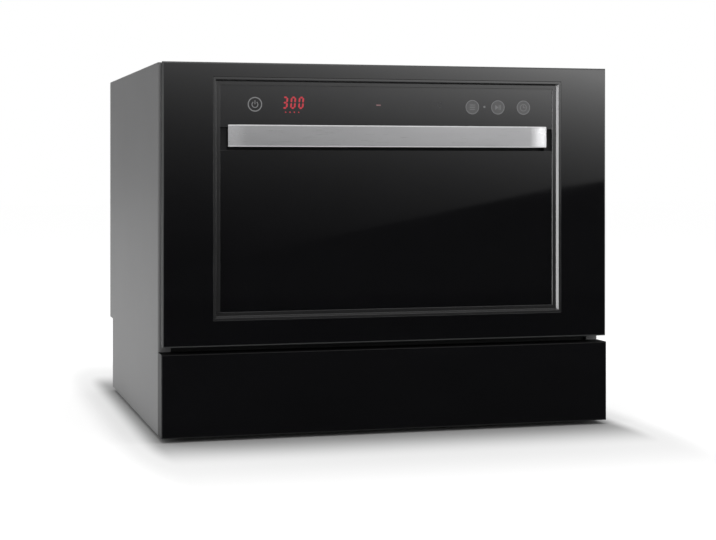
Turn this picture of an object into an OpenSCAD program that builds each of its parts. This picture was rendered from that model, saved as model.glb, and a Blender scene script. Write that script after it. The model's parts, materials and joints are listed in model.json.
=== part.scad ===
// Countertop dishwasher: a painted sheet cabinet round a stainless tub, with a
// bottom-hinged glass door, a wire basket on rollers, one spray arm and the wash
// works in the base. Millimetres. Origin at the bottom centre, front faces -Y, Z up.

/* [Cabinet] */
// Overall width, side to side
cab_w = 550; // [530:5:620]
// Overall depth, door face to the heads of the rear screws
cab_d = 500; // [490:5:560]
// Overall height, standing on its feet
cab_h = 438; // [434:1:500]
// Thickness of the painted sheet
sheet = 1; // [0.6:0.1:1.5]
// Height of the rubber feet
foot_h = 5; // [3:1:7]
// Radius of the rubber feet
foot_r = 14; // [10:1:18]
// Distance of the feet from the cabinet's side and rear faces
foot_inset = 40; // [36:1:60]
// How far the side panels' front edge stands behind the door's face
side_back = 28; // [27:0.5:32]
// Bend radius at the side panels' front edge
bend_r = 3; // [2:0.5:5]
// Width of the flanges folded in along the sheet edges
flange_w = 12; // [8:1:16]
// Height up to which the lower back is set in for the connections
inset_h = 102; // [95:1:104]
// Depth of that inset
inset_d = 32; // [30:1:40]
// Gap between the door's lower edge and the kick plate
door_gap = 7.5; // [7:0.5:12]
// Wall thickness of the moulded base tray
tray_wall = 2.5; // [2:0.5:4]
// Height of the base tray's rim
tray_h = 34; // [25:1:40]

/* [Door] */
// Thickness of the whole door
door_t = 25; // [25:0.5:27]
// Height of the door's lower edge above the table
door_bottom = 109; // [107:0.5:112]
// Side gap between the door and the cabinet's outer face
door_side_gap = 1; // [0.5:0.5:3]
// Thickness of the glass panes
glass_t = 4; // [3:0.5:4.5]
// Bevel ground along the outer edges of the front glass
glass_bevel = 1.5; // [0.5:0.5:2.5]
// Distance from the cabinet's side to the window in the front glass
window_side = 60; // [50:1:80]
// Distance from the cabinet's top to the window
window_top = 17.5; // [12:0.5:19]
// Distance from the door's lower edge to the window
window_bottom = 30; // [29:0.5:60]
// Depth at which the inner panes lie behind the front glass's face
recess_d = 7; // [6:0.5:8]
// Width of the bright trim's front lip
trim_lip = 3; // [2:0.5:5]
// Width of the trim at the bottom of the recess
trim_w = 9; // [7:0.5:12]
// Height of the hinge axis above the door's lower edge
hinge_up = 12; // [11.5:0.5:12.5]
// Depth of the hinge axis behind the door's face
hinge_back = 12; // [11.5:0.5:12.5]
// Radius of the hinge pins
hinge_pin_r = 4; // [3:0.5:4.5]
// Thickness of the stainless inner door
liner_t = 1; // [0.6:0.1:1.2]
// Depth of the dish pressed into the inner door
liner_dish = 5; // [3:0.5:6]
// Chamfer along the door's lower inner edge, which lets it swing
door_chamfer = 6; // [5.5:0.5:8]

/* [Handle and controls] */
// Height of the handle bar
handle_h = 25.5; // [20:0.5:30]
// Distance from the window's top to the handle bar's top
handle_drop = 55; // [45:0.5:60]
// Gap between the window's side and the handle bar's end
handle_end = 18; // [12:1:40]
// Metal thickness of the handle bar
handle_t = 2.5; // [2:0.5:3]
// Gap under the bar through which fingers reach behind it
grip_gap = 4; // [3:0.5:8]
// Width of the display module behind the control glass
display_w = 36; // [28:1:44]
// Height of the display module
display_h = 24; // [20:1:28]
// Distance of the display's middle from the middle of the door
display_x = 118.5; // [90:0.5:130]

/* [Tub] */
// Inner width of the tub
tub_w = 472; // [460:2:474]
// Inner depth of the tub
tub_d = 424; // [416:1:430]
// Inner height of the tub above its roller ledges
tub_h = 281; // [270:1:282]
// Thickness of the tub's stainless sheet
tub_wall = 1; // [0.6:0.1:1.2]
// Radius of the tub's upper corners
tub_corner = 24; // [16:1:40]
// Radius of the tub's lower corners, beside the rollers' track
tub_low_corner = 11; // [6:1:11]
// Width of the flange round the tub's mouth
tub_flange = 12; // [9:0.5:12]
// Depth of the dish pressed into the tub's floor under the spray arm
floor_dish = 8; // [6:0.5:8.5]
// Thickness of the door gasket
gasket_t = 8; // [6:0.5:9]
// Width of the door gasket
gasket_w = 6.5; // [5:0.5:6.5]

/* [Wash] */
// Reach of the spray arm from its pivot
arm_reach = 182; // [150:1:184]
// Height of the spray arm's blade
arm_h = 9; // [7:0.5:10]
// Radius of the bearing that carries the spray arm
arm_pin_r = 8; // [6:0.5:10]
// Distance of the filter from the spray arm's pivot
filter_x = 80; // [74:1:82]
// Radius of the coarse filter's body
filter_r = 34; // [28:1:35]
// Radius of the heating element's ring
heater_ring = 136; // [134:0.5:140]
// Radius of the heating element's tube
heater_tube = 4; // [3:0.5:4]

/* [Basket] */
// Width of the wire basket, between the middles of its side wires
basket_w = 412; // [390:2:414]
// Depth of the wire basket, between the middles of its rim wires
basket_d = 394; // [380:1:400]
// Height from the basket's floor wires to its rim
basket_h = 88; // [70:1:92]
// Radius of the basket's floor and side wires
wire_r = 2; // [1.5:0.25:2.5]
// Radius of the rim wire
rim_r = 2.5; // [2:0.25:3]
// Height of the plate tines
tine_h = 55; // [40:1:58]
// Spacing of the plate tines
tine_step = 28; // [22:1:36]
// Radius of the basket's rollers
roller_r = 13; // [10:0.5:13]
// Width of the rollers
roller_w = 8; // [6:0.5:9]
// How far the basket runs out as the door opens fully
basket_pull = 188.5; // [150:0.5:188.5]
// Width of the fold-down cup shelves
shelf_w = 78; // [60:1:80]
// Width of the cutlery basket
cutlery_w = 92; // [70:1:96]
// Depth of the cutlery basket
cutlery_d = 70; // [50:1:72]
// Height of the cutlery basket's wall
cutlery_h = 108; // [80:1:110]

/* [Connections] */
// Outside diameter of the water inlet's thread
inlet_dia = 26.4; // [20:0.1:30]
// Length of that thread
inlet_len = 12; // [10:0.5:14]
// Outside diameter of the drain spigot
drain_dia = 19; // [16:0.5:22]
// Length of the drain spigot outside the panel
drain_len = 26; // [20:1:29]
// Diameter of the mains cord's passage in its gland
cord_dia = 8; // [6:0.5:9]

/* [Hidden] */
$fn = 48;
eps = 0.01;
seat = 0.3;            // gap between a moving or soft piece and its seat
play = 0.1;            // radial clearance of a shaft in its bore

hw = cab_w / 2;
front_y = -cab_d / 2;
back_y = cab_d / 2;
screw_head = 1.2;
rear_y = back_y - screw_head;
low_back_y = back_y - inset_d;
side_y = front_y + side_back;
kick_top = door_bottom - door_gap;

door_hw = hw - door_side_gap;
door_top = cab_h - 0.5;
door_in_y = front_y + door_t;
glass_back_y = front_y + glass_t;
pane_y = front_y + recess_d;
pane_back_y = pane_y + glass_t;
hinge_y = front_y + hinge_back;
hinge_z = door_bottom + hinge_up;
win_hw = hw - window_side;
win_z0 = door_bottom + window_bottom;
win_z1 = cab_h - window_top;
bar_z1 = win_z1 - handle_drop;
bar_z0 = bar_z1 - handle_h;
bar_hw = win_hw - handle_end;
carrier_wall = 3;
carrier_hw = door_hw - 2;
web_t = 2.5;
pocket_d = 9;                              // depth of the grip pocket behind the panes
pocket_z0 = bar_z0 - grip_gap;
pocket_z1 = bar_z1 - 3;
pocket_back_y = pane_back_y + pocket_d;
liner_y = door_in_y - liner_t;

ledge_z = hinge_z + door_t - hinge_back;   // level with the inner door when it lies open
tub_hw = tub_w / 2;
tub_y0 = door_in_y + gasket_t;
tub_y1 = tub_y0 + tub_d;
tub_z1 = ledge_z + tub_h;
arm_y = (tub_y0 + tub_y1) / 2;
dish_z = ledge_z - floor_dish;
dish_r = tub_d / 2 - 22;
dish_under = dish_z - tub_wall;
arm_z = dish_z + 12.5;
frame_y = tub_y0 + tub_wall;               // front face of the cabinet's front frame

roller_z = ledge_z + roller_r + seat;
roller_x = basket_w / 2 + 8;
floor_z = ledge_z + 28;
rim_z = floor_z + basket_h;
basket_y0 = tub_y0 + 10;
basket_y1 = basket_y0 + basket_d;
basket_hw = basket_w / 2;
toe_y = basket_y0 + 62;                    // where the floor wires turn up towards the front
toe_z = floor_z + 60;
front_roller_y = hinge_y + basket_pull + roller_r + 2;
rear_roller_y = basket_y1 - 40;
shelf_y0 = -48;
shelf_y1 = basket_y1 - 40;
shelf_z = floor_z + tine_h + 9;
shelf_x = basket_hw - 9.5;
cutlery_x = basket_hw - 10 - cutlery_w / 2;
cutlery_y = toe_y + 5 + cutlery_d / 2;
cutlery_z = floor_z + wire_r + seat;

salt_x = -150;
salt_y = arm_y + 110;
pump_z = 64;
pump_x = -22;
drain_pump_x = filter_x + 86;
drain_z = 62;
inlet_x = -200;
inlet_z = 60;
cord_x = hw - 45;
disp_hw = 86;                              // half width of the detergent dispenser
disp_z0 = rim_z + 8;
disp_z1 = pocket_z0 - 6;
disp_y = tub_y0 + 4;                       // the dispenser's face, inside the tub
lid_x0 = -disp_hw + 6;
lid_x1 = -2;
strike_z = tub_z1 + tub_flange + 2.5;

// ---- shared shapes -------------------------------------------------------

// A box between two opposite corners.
module block(a, b) {
    translate(a) cube(b - a);
}

// A round bar from point a to point b.
module rod(a, b, r) {
    run = b - a;
    length = norm(run);
    translate(a)
        rotate([0, acos(run[2] / length), atan2(run[1], run[0])])
            cylinder(h = length, r = r);
}

// A cylinder along X, Y or Z between two places on that axis.
module along_x(x0, x1, y, z, r) {
    translate([x0, y, z]) rotate([0, 90, 0]) cylinder(h = x1 - x0, r = r);
}
module along_y(y0, y1, x, z, r) {
    translate([x, y0, z]) rotate([-90, 0, 0]) cylinder(h = y1 - y0, r = r);
}
module along_z(z0, z1, x, y, r) {
    translate([x, y, z0]) cylinder(h = z1 - z0, r = r);
}

// A flat outline with round corners, r_low below and r_high above.
module soft_rect(x0, x1, z0, z1, r_low, r_high) {
    union() {
        translate([x0, z0 + r_low]) square([x1 - x0, z1 - z0 - r_low - r_high]);
        translate([x0 + r_low, z0]) square([x1 - x0 - 2 * r_low, r_low]);
        translate([x0 + r_high, z1 - r_high]) square([x1 - x0 - 2 * r_high, r_high]);
        for (x = [x0 + r_low, x1 - r_low]) translate([x, z0 + r_low]) circle(r_low);
        for (x = [x0 + r_high, x1 - r_high]) translate([x, z1 - r_high]) circle(r_high);
    }
}

// Extrudes an outline drawn in X and Z from y0 back to y1.
module from_front(y0, y1) {
    translate([0, y1, 0]) rotate([90, 0, 0]) linear_extrude(height = y1 - y0) children();
}

// Extrudes an outline drawn in Y and Z from x0 to x1.
module from_side(x0, x1) {
    translate([x0, 0, 0]) rotate([90, 0, 90]) linear_extrude(height = x1 - x0) children();
}

// A closed loop of round wire with bent corners, level at z.
module wire_loop(x0, x1, y0, y1, z, r, bend) {
    for (y = [y0, y1]) along_x(x0 + bend, x1 - bend, y, z, r);
    for (x = [x0, x1]) along_y(y0 + bend, y1 - bend, x, z, r);
    for (c = [[x1 - bend, y1 - bend, 0], [x0 + bend, y1 - bend, 90],
              [x0 + bend, y0 + bend, 180], [x1 - bend, y0 + bend, 270]])
        translate([c[0], c[1], z]) rotate([0, 0, c[2]])
            rotate_extrude(angle = 90) translate([bend, 0]) circle(r);
}

// A round wire wound into a helix about X, as one closed surface.
module coil(turns, pitch, mean_r, r, sides = 6, per_turn = 10) {
    rings = turns * per_turn;
    points = [for (i = [0:rings]) let (a = i * 360 / per_turn, x = i * pitch / per_turn)
        for (k = [0:sides - 1]) let (b = k * 360 / sides)
            [x + r * sin(b), (mean_r + r * cos(b)) * cos(a), (mean_r + r * cos(b)) * sin(a)]];
    walls = [for (i = [0:rings - 1]) for (k = [0:sides - 1])
        let (n = (k + 1) % sides, p = i * sides, q = p + sides)
            each [[p + k, q + n, p + n], [p + k, q + k, q + n]]];
    ends = [[for (k = [0:sides - 1]) k], [for (k = [sides - 1:-1:0]) rings * sides + k]];
    polyhedron(points = points, faces = concat(walls, ends));
}

// ---- basket --------------------------------------------------------------

tine_n = 5;
floor_xs = [for (k = [0.5, 2.5, 4.5, 6]) for (s = [-1, 1]) s * k * tine_step];
cross_ys = [toe_y + 8, toe_y + 55, toe_y + 110, toe_y + 175, toe_y + 265, basket_y1 - 34];
tine_rows = [[cross_ys[3], -tine_n, tine_n], [cross_ys[4], -tine_n, tine_n], [cross_ys[1], -tine_n, 0]];
hook_r = 1.5;
shelf_wire_r = 2;
roller_axle_r = 3;

// A round wire bent up squarely at both ends, drawn flat: width along X, rise along Y.
module square_wire(half, rise, r, bend) {
    union() {
        along_x(-half + bend, half - bend, 0, 0, r);
        for (s = [-1, 1]) {
            along_y(bend, rise, s * half, 0, r);
            translate([s * (half - bend), bend, 0]) rotate([0, 0, s > 0 ? 270 : 180])
                rotate_extrude(angle = 90) translate([bend, 0]) circle(r);
        }
    }
}

// A round wire through flat points with a forged knuckle at each bend.
module knuckled_wire(points, r) {
    last = len(points) - 1;
    runs = [for (i = [0:last - 1]) points[i + 1] - points[i]];
    headings = [for (run = runs) atan2(run[1], run[0])];
    trims = [0, each [for (i = [1:last - 1]) r * tan(abs(headings[i] - headings[i - 1]) / 2) + 0.1], 0];
    union() {
        for (i = [0:last - 1]) let (a = points[i] + runs[i] / norm(runs[i]) * trims[i])
            translate([a[0], a[1], 0]) rotate([0, 0, headings[i]]) rotate([0, 90, 0])
                cylinder(h = norm(runs[i]) - trims[i] - trims[i + 1], r = r);
        for (i = [1:last - 1]) translate([points[i][0], points[i][1], 0])
            sphere(sqrt(trims[i] * trims[i] + r * r) + 0.1);
    }
}

weld = 0.05;            // gap between wires that are welded side by side
inner = rim_r + wire_r + weld;
under_z = floor_z - 2 * wire_r - weld;

// One floor wire: along the floor, up the sloping front and up the back.
module floor_wire(x) {
    translate([x, 0, 0]) rotate([90, 0, 90]) knuckled_wire([
        [basket_y0 + inner, rim_z + 1], [basket_y0 + inner, toe_z], [toe_y, floor_z],
        [basket_y1 - 20, floor_z], [basket_y1 - inner, floor_z + 26], [basket_y1 - inner, rim_z + 1]],
        wire_r);
}

// One cross wire below the floor wires, turned up at both sides.
module cross_wire(y) {
    side_x = basket_hw - inner;
    translate([0, y, under_z]) rotate([90, 0, 0])
        square_wire(side_x, rim_z + 1 - under_z, wire_r, 9);
}

// Plate below the basket's side rail, with the axle of one roller.
module roller_mount(side, y) {
    plate_t = 2;
    plate_x = basket_hw - plate_t / 2;
    axle_end = roller_x + roller_w / 2 + 1.6;
    scale([side, 1, 1]) union() {
        from_side(plate_x, plate_x + plate_t) union() {
            translate([y, roller_z]) circle(7);
            polygon([[y - 7, roller_z], [y - 12, floor_z - rim_r - weld],
                     [y + 12, floor_z - rim_r - weld], [y + 7, roller_z]]);
        }
        along_x(plate_x, axle_end, y, roller_z, roller_axle_r);
    }
}

module basket() {
    hook_z = shelf_z - shelf_wire_r - seat - hook_r;
    color("lightsteelblue") {
        for (x = floor_xs) floor_wire(x);
        for (y = cross_ys) cross_wire(y);
        for (z = [rim_z, (toe_z + rim_z) / 2])
            wire_loop(-basket_hw, basket_hw, basket_y0, basket_y1, z, rim_r, 30);
        for (s = [-1, 1]) {
            along_y(toe_y - 4, basket_y1 - 18, s * basket_hw, floor_z, rim_r);
            for (y = [front_roller_y, rear_roller_y]) roller_mount(s, y);
            for (y = [cross_ys[3], cross_ys[4]])
                translate([0, y + wire_r + hook_r + weld, hook_z])
                    rod([s * (shelf_x - 1), 0, 0], [s * (basket_hw - rim_r), 0, 0], hook_r);
        }
    }
}

// Upright tines welded on the cross wires, which hold the plates.
module plate_tines() {
    color("lightsteelblue") for (row = tine_rows) for (i = [row[1]:row[2]])
        along_z(floor_z - wire_r, floor_z + tine_h, i * tine_step, row[0], wire_r * 0.9);
}

// The pair of rollers on one axis.
module rollers(y) {
    color("whitesmoke") for (s = [-1, 1])
        translate([s * roller_x, y, roller_z]) rotate([0, 90, 0]) difference() {
            union() {
                cylinder(h = roller_w, r = roller_r, center = true);
                cylinder(h = roller_w + 1.6, r = 6, center = true);
            }
            cylinder(h = roller_w + 4, r = roller_axle_r + play, center = true);
            for (k = [0:4]) rotate([0, 0, k * 72]) translate([(roller_r + 6) / 2, 0, 0])
                cylinder(h = roller_w + 4, r = 1.8, center = true);
        }
}

module front_rollers() { rollers(front_roller_y); }
module rear_rollers() { rollers(rear_roller_y); }

// A fold-down cup shelf, drawn folded up against the basket's side.
module cup_shelf(s) {
    rib_ys = [for (i = [0:6]) shelf_y0 + 6 + i * (shelf_y1 - shelf_y0 - 12) / 6];
    color("lightsteelblue") union() {
        along_y(shelf_y0, shelf_y1, s * shelf_x, shelf_z, shelf_wire_r);
        for (h = [shelf_w / 2, shelf_w - 2])
            along_y(shelf_y0, shelf_y1, s * (shelf_x - 1.5), shelf_z + h, 1.6);
        for (y = rib_ys)
            rod([s * shelf_x, y, shelf_z], [s * (shelf_x - 1.5), y, shelf_z + shelf_w], 1.5);
    }
}

module left_cup_shelf() { cup_shelf(-1); }
module right_cup_shelf() { cup_shelf(1); }

// Slotted cutlery basket with a carrying bow.
module cutlery_basket() {
    wall = 2;
    x0 = cutlery_x - cutlery_w / 2;
    y0 = cutlery_y - cutlery_d / 2;
    z1 = cutlery_z + cutlery_h;
    slot_w = 4;
    cols = 9;
    rows = 3;
    step_x = (cutlery_w - 10) / cols;
    step_z = (cutlery_h - 14) / rows;
    step_y = (cutlery_d - 10) / 7;
    color("dimgray") difference() {
        union() {
            difference() {
                block([x0, y0, cutlery_z], [x0 + cutlery_w, y0 + cutlery_d, z1]);
                for (i = [0:2]) for (j = [0:1])
                    translate([x0 + wall + i * (cutlery_w - wall) / 3,
                               y0 + wall + j * (cutlery_d - wall) / 2, cutlery_z + wall])
                        cube([(cutlery_w - wall) / 3 - wall, (cutlery_d - wall) / 2 - wall, cutlery_h]);
            }
            for (x = [x0 + 4, x0 + cutlery_w - 8])
                block([x, cutlery_y - 1, z1 - 6], [x + 4, cutlery_y + 1, z1 + 14]);
            block([x0 + 4, cutlery_y - 4, z1 + 14], [x0 + cutlery_w - 4, cutlery_y + 4, z1 + 18]);
        }
        for (i = [0:cols - 1]) for (j = [0:rows - 1])
            if (i % 3 != 2 || i == cols - 1)
                translate([x0 + 5 + (i + 0.5) * step_x - slot_w / 2, y0 - 1,
                           cutlery_z + 9 + j * step_z])
                    cube([slot_w, wall + 2, step_z - 8]);
    }
}

// ---- door ----------------------------------------------------------------

hinge_in = 29;          // from the door's side to the hinge's inner cheek
hinge_out = 5;          // from the door's side to the hinge's outer cheek
cheek_t = 3;
bracket_t = 3;
cheek_in_x = door_hw - hinge_in;
cheek_out_x = door_hw - hinge_out - cheek_t;
bracket_x = cheek_out_x - 4.3;
hinge_top = hinge_z + 29;

// Front glass: a full pane with its window cut out and its outer edges bevelled.
module door_glass() {
    color("black") difference() {
        union() {
            block([-door_hw, front_y + glass_bevel, door_bottom], [door_hw, glass_back_y, door_top]);
            hull() {
                block([-door_hw, front_y + glass_bevel, door_bottom],
                      [door_hw, front_y + glass_bevel + eps, door_top]);
                block([-door_hw + glass_bevel, front_y, door_bottom + glass_bevel],
                      [door_hw - glass_bevel, front_y + eps, door_top - glass_bevel]);
            }
        }
        block([-win_hw, front_y - 1, win_z0], [win_hw, glass_back_y + 1, win_z1]);
    }
}

// Bright trim that lines the window from the front lip down to the panes.
module door_trim() {
    slip = 0.2;
    color("silver") difference() {
        block([-win_hw + slip, front_y, win_z0 + slip], [win_hw - slip, pane_y, win_z1 - slip]);
        hull() {
            block([-win_hw + trim_lip, front_y - eps, win_z0 + trim_lip],
                  [win_hw - trim_lip, front_y, win_z1 - trim_lip]);
            block([-win_hw + trim_lip + 1.5, pane_y - 1.5, win_z0 + trim_lip + 1.5],
                  [win_hw - trim_lip - 1.5, pane_y - 1.5 + eps, win_z1 - trim_lip - 1.5]);
        }
        block([-win_hw + trim_w, pane_y - 2.5, win_z0 + trim_w],
              [win_hw - trim_w, pane_y + 1, win_z1 - trim_w]);
    }
}

module lower_glass() {
    color([0.05, 0.05, 0.06])
        block([-win_hw + 0.5, pane_y, win_z0 + 0.5], [win_hw - 0.5, pane_back_y, pocket_z0]);
}

module control_glass() {
    color([0.2, 0.2, 0.21])
        block([-win_hw + 0.5, pane_y, pocket_z1], [win_hw - 0.5, pane_back_y, win_z1 - 0.5]);
}

// Moulded carrier that holds the panes, the handle and the inner door together.
module door_carrier() {
    back = liner_y;
    ring = 4;
    post_r = 5;
    fold_room = door_chamfer + 2 * liner_t;     // room for the liner's folded lower edge
    color("dimgray") difference() {
        union() {
            difference() {
                block([-carrier_hw, glass_back_y, door_bottom + 1], [carrier_hw, back, door_top - 1]);
                block([-carrier_hw + carrier_wall, pane_back_y + web_t, door_bottom + 1 + carrier_wall],
                      [carrier_hw - carrier_wall, back + 1, door_top - 1 - carrier_wall]);
                block([-win_hw - ring - 4, glass_back_y - 1, win_z1 + ring],
                      [win_hw + ring + 4, pane_back_y + 1, door_top - 1 - carrier_wall]);
                block([-win_hw + 0.2, glass_back_y - 1, win_z0 + 0.2],
                      [win_hw - 0.2, pane_back_y, win_z1 - 0.2]);
                for (s = [-1, 1]) translate([s * (win_hw + carrier_hw) / 2, 0, 0])
                    block([-(carrier_hw - win_hw) / 2 + ring, glass_back_y - 1, win_z0 + 20],
                          [(carrier_hw - win_hw) / 2 - ring, pane_back_y - 1, win_z1 - 10]);
                block([-bar_hw, pane_back_y - 1, bar_z1], [bar_hw, pane_back_y + web_t + 1, win_z1 - 6]);
            }
            block([-bar_hw - 2, pane_back_y, pocket_z0 - 2], [bar_hw + 2, pocket_back_y + 2, pocket_z1 + 2]);
            for (x = [-bar_hw * 0.8, 0, bar_hw * 0.8])
                along_y(pane_back_y + web_t, back, x, win_z0 - 12, 4);
        }
        difference() {
            block([-bar_hw, pane_back_y - 1, pocket_z0], [bar_hw, pocket_back_y, pocket_z1]);
            for (x = [-bar_hw + 20, 0, bar_hw - 20])
                along_y(pane_back_y - 1, pocket_back_y + 1, x, (bar_z0 + bar_z1) / 2, post_r);
        }
        for (s = [-1, 1]) {
            x0 = s > 0 ? cheek_in_x - 1 : -cheek_out_x - cheek_t - 1;
            x1 = s > 0 ? cheek_out_x + cheek_t + 1 : -cheek_in_x + 1;
            block([x0, glass_back_y + eps, door_bottom], [x1, back + 1, hinge_top + 1]);
        }
        from_side(-cab_w, cab_w) polygon([[door_in_y - fold_room, door_bottom],
            [door_in_y + 1, door_bottom], [door_in_y + 1, door_bottom + fold_room + 1]]);
    }
}

// Handle bar: a folded aluminium bar across the recess, closed at its ends.
module handle_bar() {
    cham = 1;
    mid_z = (bar_z0 + bar_z1) / 2;
    back_flange_y = pane_y - 0.2;
    color("gainsboro") union() {
        from_side(-bar_hw, bar_hw) polygon([
            [front_y + cham, bar_z0], [front_y + handle_t, bar_z0], [front_y + handle_t, bar_z1 - handle_t],
            [back_flange_y, bar_z1 - handle_t], [back_flange_y, bar_z1], [front_y + cham, bar_z1],
            [front_y, bar_z1 - cham], [front_y, bar_z0 + cham]]);
        for (x = [-bar_hw, bar_hw - handle_t])
            block([x, front_y + handle_t - eps, bar_z0 + cham], [x + handle_t, back_flange_y, bar_z1 - 1]);
        for (x = [-bar_hw + 20, 0, bar_hw - 20]) along_y(front_y + handle_t - eps, pane_back_y, x, mid_z, 5);
    }
}

module display_module() {
    color("maroon") union() {
        block([-display_x - display_w / 2, pane_back_y + 0.2, win_z1 - 38],
              [-display_x + display_w / 2, pane_back_y + 4.2, win_z1 - 38 + display_h]);
        block([-17, pane_back_y + 1, win_z1 - 33], [-13, pane_back_y + 4.2, win_z1 - 29]);
    }
}

// Touch-sensing circuit board behind the control glass.
module touch_board() {
    y0 = pane_back_y + 4.2;
    z0 = bar_z1 + 6;
    z1 = win_z1 - 8;
    color("darkgreen") union() {
        difference() {
            block([-bar_hw + 4, y0, z0], [bar_hw - 4, y0 + 1.6, z1]);
            for (x = [-bar_hw + 10, bar_hw - 10]) along_y(y0 - 1, y0 + 3, x, z1 - 6, 1.7);
        }
        for (x = [-165, 103, 136, 169] * (bar_hw / 197))
            along_y(pane_back_y + 0.3, y0 + eps, x, win_z1 - 31, 5);
        block([40, y0 + 1.6 - eps, z0 + 8], [54, y0 + 3, z0 + 22]);
        block([-60, y0 + 1.6 - eps, z0 + 6], [-36, y0 + 5, z0 + 12]);
    }
}

module door_pad() {
    color("slategray") difference() {
        block([-carrier_hw + carrier_wall + 4, pane_back_y + web_t + seat, win_z0 + 6],
              [carrier_hw - carrier_wall - 4, liner_y - liner_dish - liner_t - seat, pocket_z0 - 3]);
        for (s = [-1, 1]) translate([s * (cheek_in_x + cheek_out_x) / 2, 0, 0])
            block([-20, pane_back_y, win_z0], [20, liner_y, hinge_top + 4]);
        block([-disp_hw - 2, pane_back_y, disp_z0 - 2], [disp_hw + 2, liner_y, cab_h]);
    }
}

// Stainless inner door with a pressed dish, its lower edge folded round the chamfer.
module door_liner() {
    dish_hw = roller_x - roller_w / 2 - 10;
    dish_z0 = ledge_z + 22;
    dish_z1 = pocket_z0 - 3;
    y1 = door_in_y;
    c = door_chamfer * 0.7;
    color("silver") difference() {
        union() {
            difference() {
                union() {
                    block([-carrier_hw, liner_y, door_bottom + door_chamfer],
                          [carrier_hw, y1, door_top - 1]);
                    from_side(-carrier_hw, carrier_hw) polygon([
                        [y1, door_bottom + door_chamfer + eps], [y1 - c, door_bottom + door_chamfer - c],
                        [y1 - c - liner_t * 0.7, door_bottom + door_chamfer - c + liner_t * 0.7],
                        [liner_y, door_bottom + door_chamfer + liner_t]]);
                }
                from_front(liner_y - 1, y1 + 1)
                    soft_rect(-dish_hw, dish_hw, dish_z0, dish_z1, 20, 20);
            }
            difference() {
                from_front(liner_y - liner_dish, y1 - eps)
                    soft_rect(-dish_hw - eps, dish_hw + eps, dish_z0 - eps, dish_z1 + eps, 20, 20);
                from_front(y1 - liner_dish, y1 + 1)
                    soft_rect(-dish_hw + liner_t, dish_hw - liner_t, dish_z0 + liner_t,
                              dish_z1 - liner_t, 20 - liner_t, 20 - liner_t);
            }
        }
        block([-disp_hw + 4, liner_y - liner_dish - 1, disp_z0 + 4],
              [disp_hw - 4, y1 + 1, disp_z1 - 4]);
        for (s = [-1, 1]) translate([s * (bracket_x + bracket_t / 2), 0, 0])
            block([-bracket_t / 2 - 1, liner_y - 8, door_bottom], [bracket_t / 2 + 1, y1 + 1, hinge_z + 11]);
        for (s = [-1, 1]) translate([s * 10, 0, 0])
            along_y(liner_y - 1, y1 + 1, 0, strike_z + 2, 1.5);
    }
}

// Detergent and rinse-aid dispenser, let into the inner door.
module detergent_dispenser() {
    back = pane_back_y + web_t + 1;
    flange_y = liner_y - liner_dish + liner_t;
    lid_z0 = disp_z0 + 5;
    lid_z1 = disp_z1 - 5;
    cap_x = disp_hw - 40;
    mid_z = (disp_z0 + disp_z1) / 2;
    color("lightgray") difference() {
        union() {
            block([-disp_hw, flange_y, disp_z0], [disp_hw, disp_y - 2.5, disp_z1]);
            block([-disp_hw + 5, back, disp_z0 + 5], [disp_hw - 5, flange_y + eps, disp_z1 - 5]);
            block([disp_hw - 78, flange_y, disp_z0], [disp_hw, disp_y, disp_z1]);
            block([-disp_hw, flange_y, disp_z0], [-disp_hw + 5, disp_y, disp_z1]);
        }
        block([lid_x0 + 6, back + 1.5, lid_z0 + 5], [lid_x1 - 6, disp_y + 1, lid_z1 - 5]);
        along_y(disp_y - 8, disp_y + 1, cap_x, mid_z, 13);
        block([disp_hw - 84 - seat, disp_y - 2.5, mid_z - 8], [disp_hw - 74, disp_y + 1, mid_z + 8]);
    }
}

// Lid over the detergent compartment, swinging sideways on its own barrel.
module detergent_lid() {
    z0 = disp_z0 + 5.5;
    z1 = disp_z1 - 5.5;
    lid_y = disp_y - 2.5 + seat;
    color("gray") union() {
        block([lid_x0 + 2, lid_y, z0], [lid_x1 + 3, lid_y + 2.2, z1]);
        along_z(z0, z1, lid_x0 + 1.5, lid_y + 1.7, 1.7);
        for (z = [z0 + 6, (z0 + z1) / 2 - 1, z1 - 8])
            block([lid_x0 + 10, lid_y + 2.2 - eps, z], [lid_x1 - 14, lid_y + 3, z + 2]);
    }
}

module rinse_cap() {
    mid_z = (disp_z0 + disp_z1) / 2;
    cap_x = disp_hw - 40;
    color("steelblue") union() {
        along_y(disp_y - 7.5, disp_y + seat, cap_x, mid_z, 12.6);
        along_y(disp_y + seat - eps, disp_y + 2.5, cap_x, mid_z, 17);
        block([cap_x - 15, disp_y + 2.5 - eps, mid_z - 1.6], [cap_x + 15, disp_y + 5.5, mid_z + 1.6]);
    }
}

// Push slide that lets the detergent lid go.
module lid_latch() {
    mid_z = (disp_z0 + disp_z1) / 2;
    color("gray") union() {
        block([disp_hw - 84 + 0.3, disp_y - 2.2, mid_z - 7], [disp_hw - 78 + 0.3, disp_y - 0.3, mid_z + 7]);
        block([disp_hw - 82.5, disp_y - 0.31, mid_z - 5], [disp_hw - 79, disp_y + 1.6, mid_z + 5]);
    }
}

// Steel hinge arms in the door's lower corners, each with its pin.
module hinge_arms() {
    color("darkgray") for (s = [-1, 1]) scale([s, 1, 1]) union() {
        for (x = [cheek_in_x, cheek_out_x]) from_side(x, x + cheek_t) union() {
            translate([hinge_y, hinge_z]) circle(7.5);
            polygon([[hinge_y - 7.5, hinge_z], [hinge_y + 7.5, hinge_z], [liner_y, hinge_z + 10],
                     [liner_y, hinge_top], [glass_back_y + 1, hinge_top], [glass_back_y + 1, hinge_z + 6]]);
        }
        block([cheek_in_x, liner_y - 2, hinge_z + 14], [cheek_out_x + cheek_t, liner_y, hinge_top]);
        along_x(cheek_in_x + eps, cheek_out_x + cheek_t - eps, hinge_y, hinge_z, hinge_pin_r);
    }
}

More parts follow.
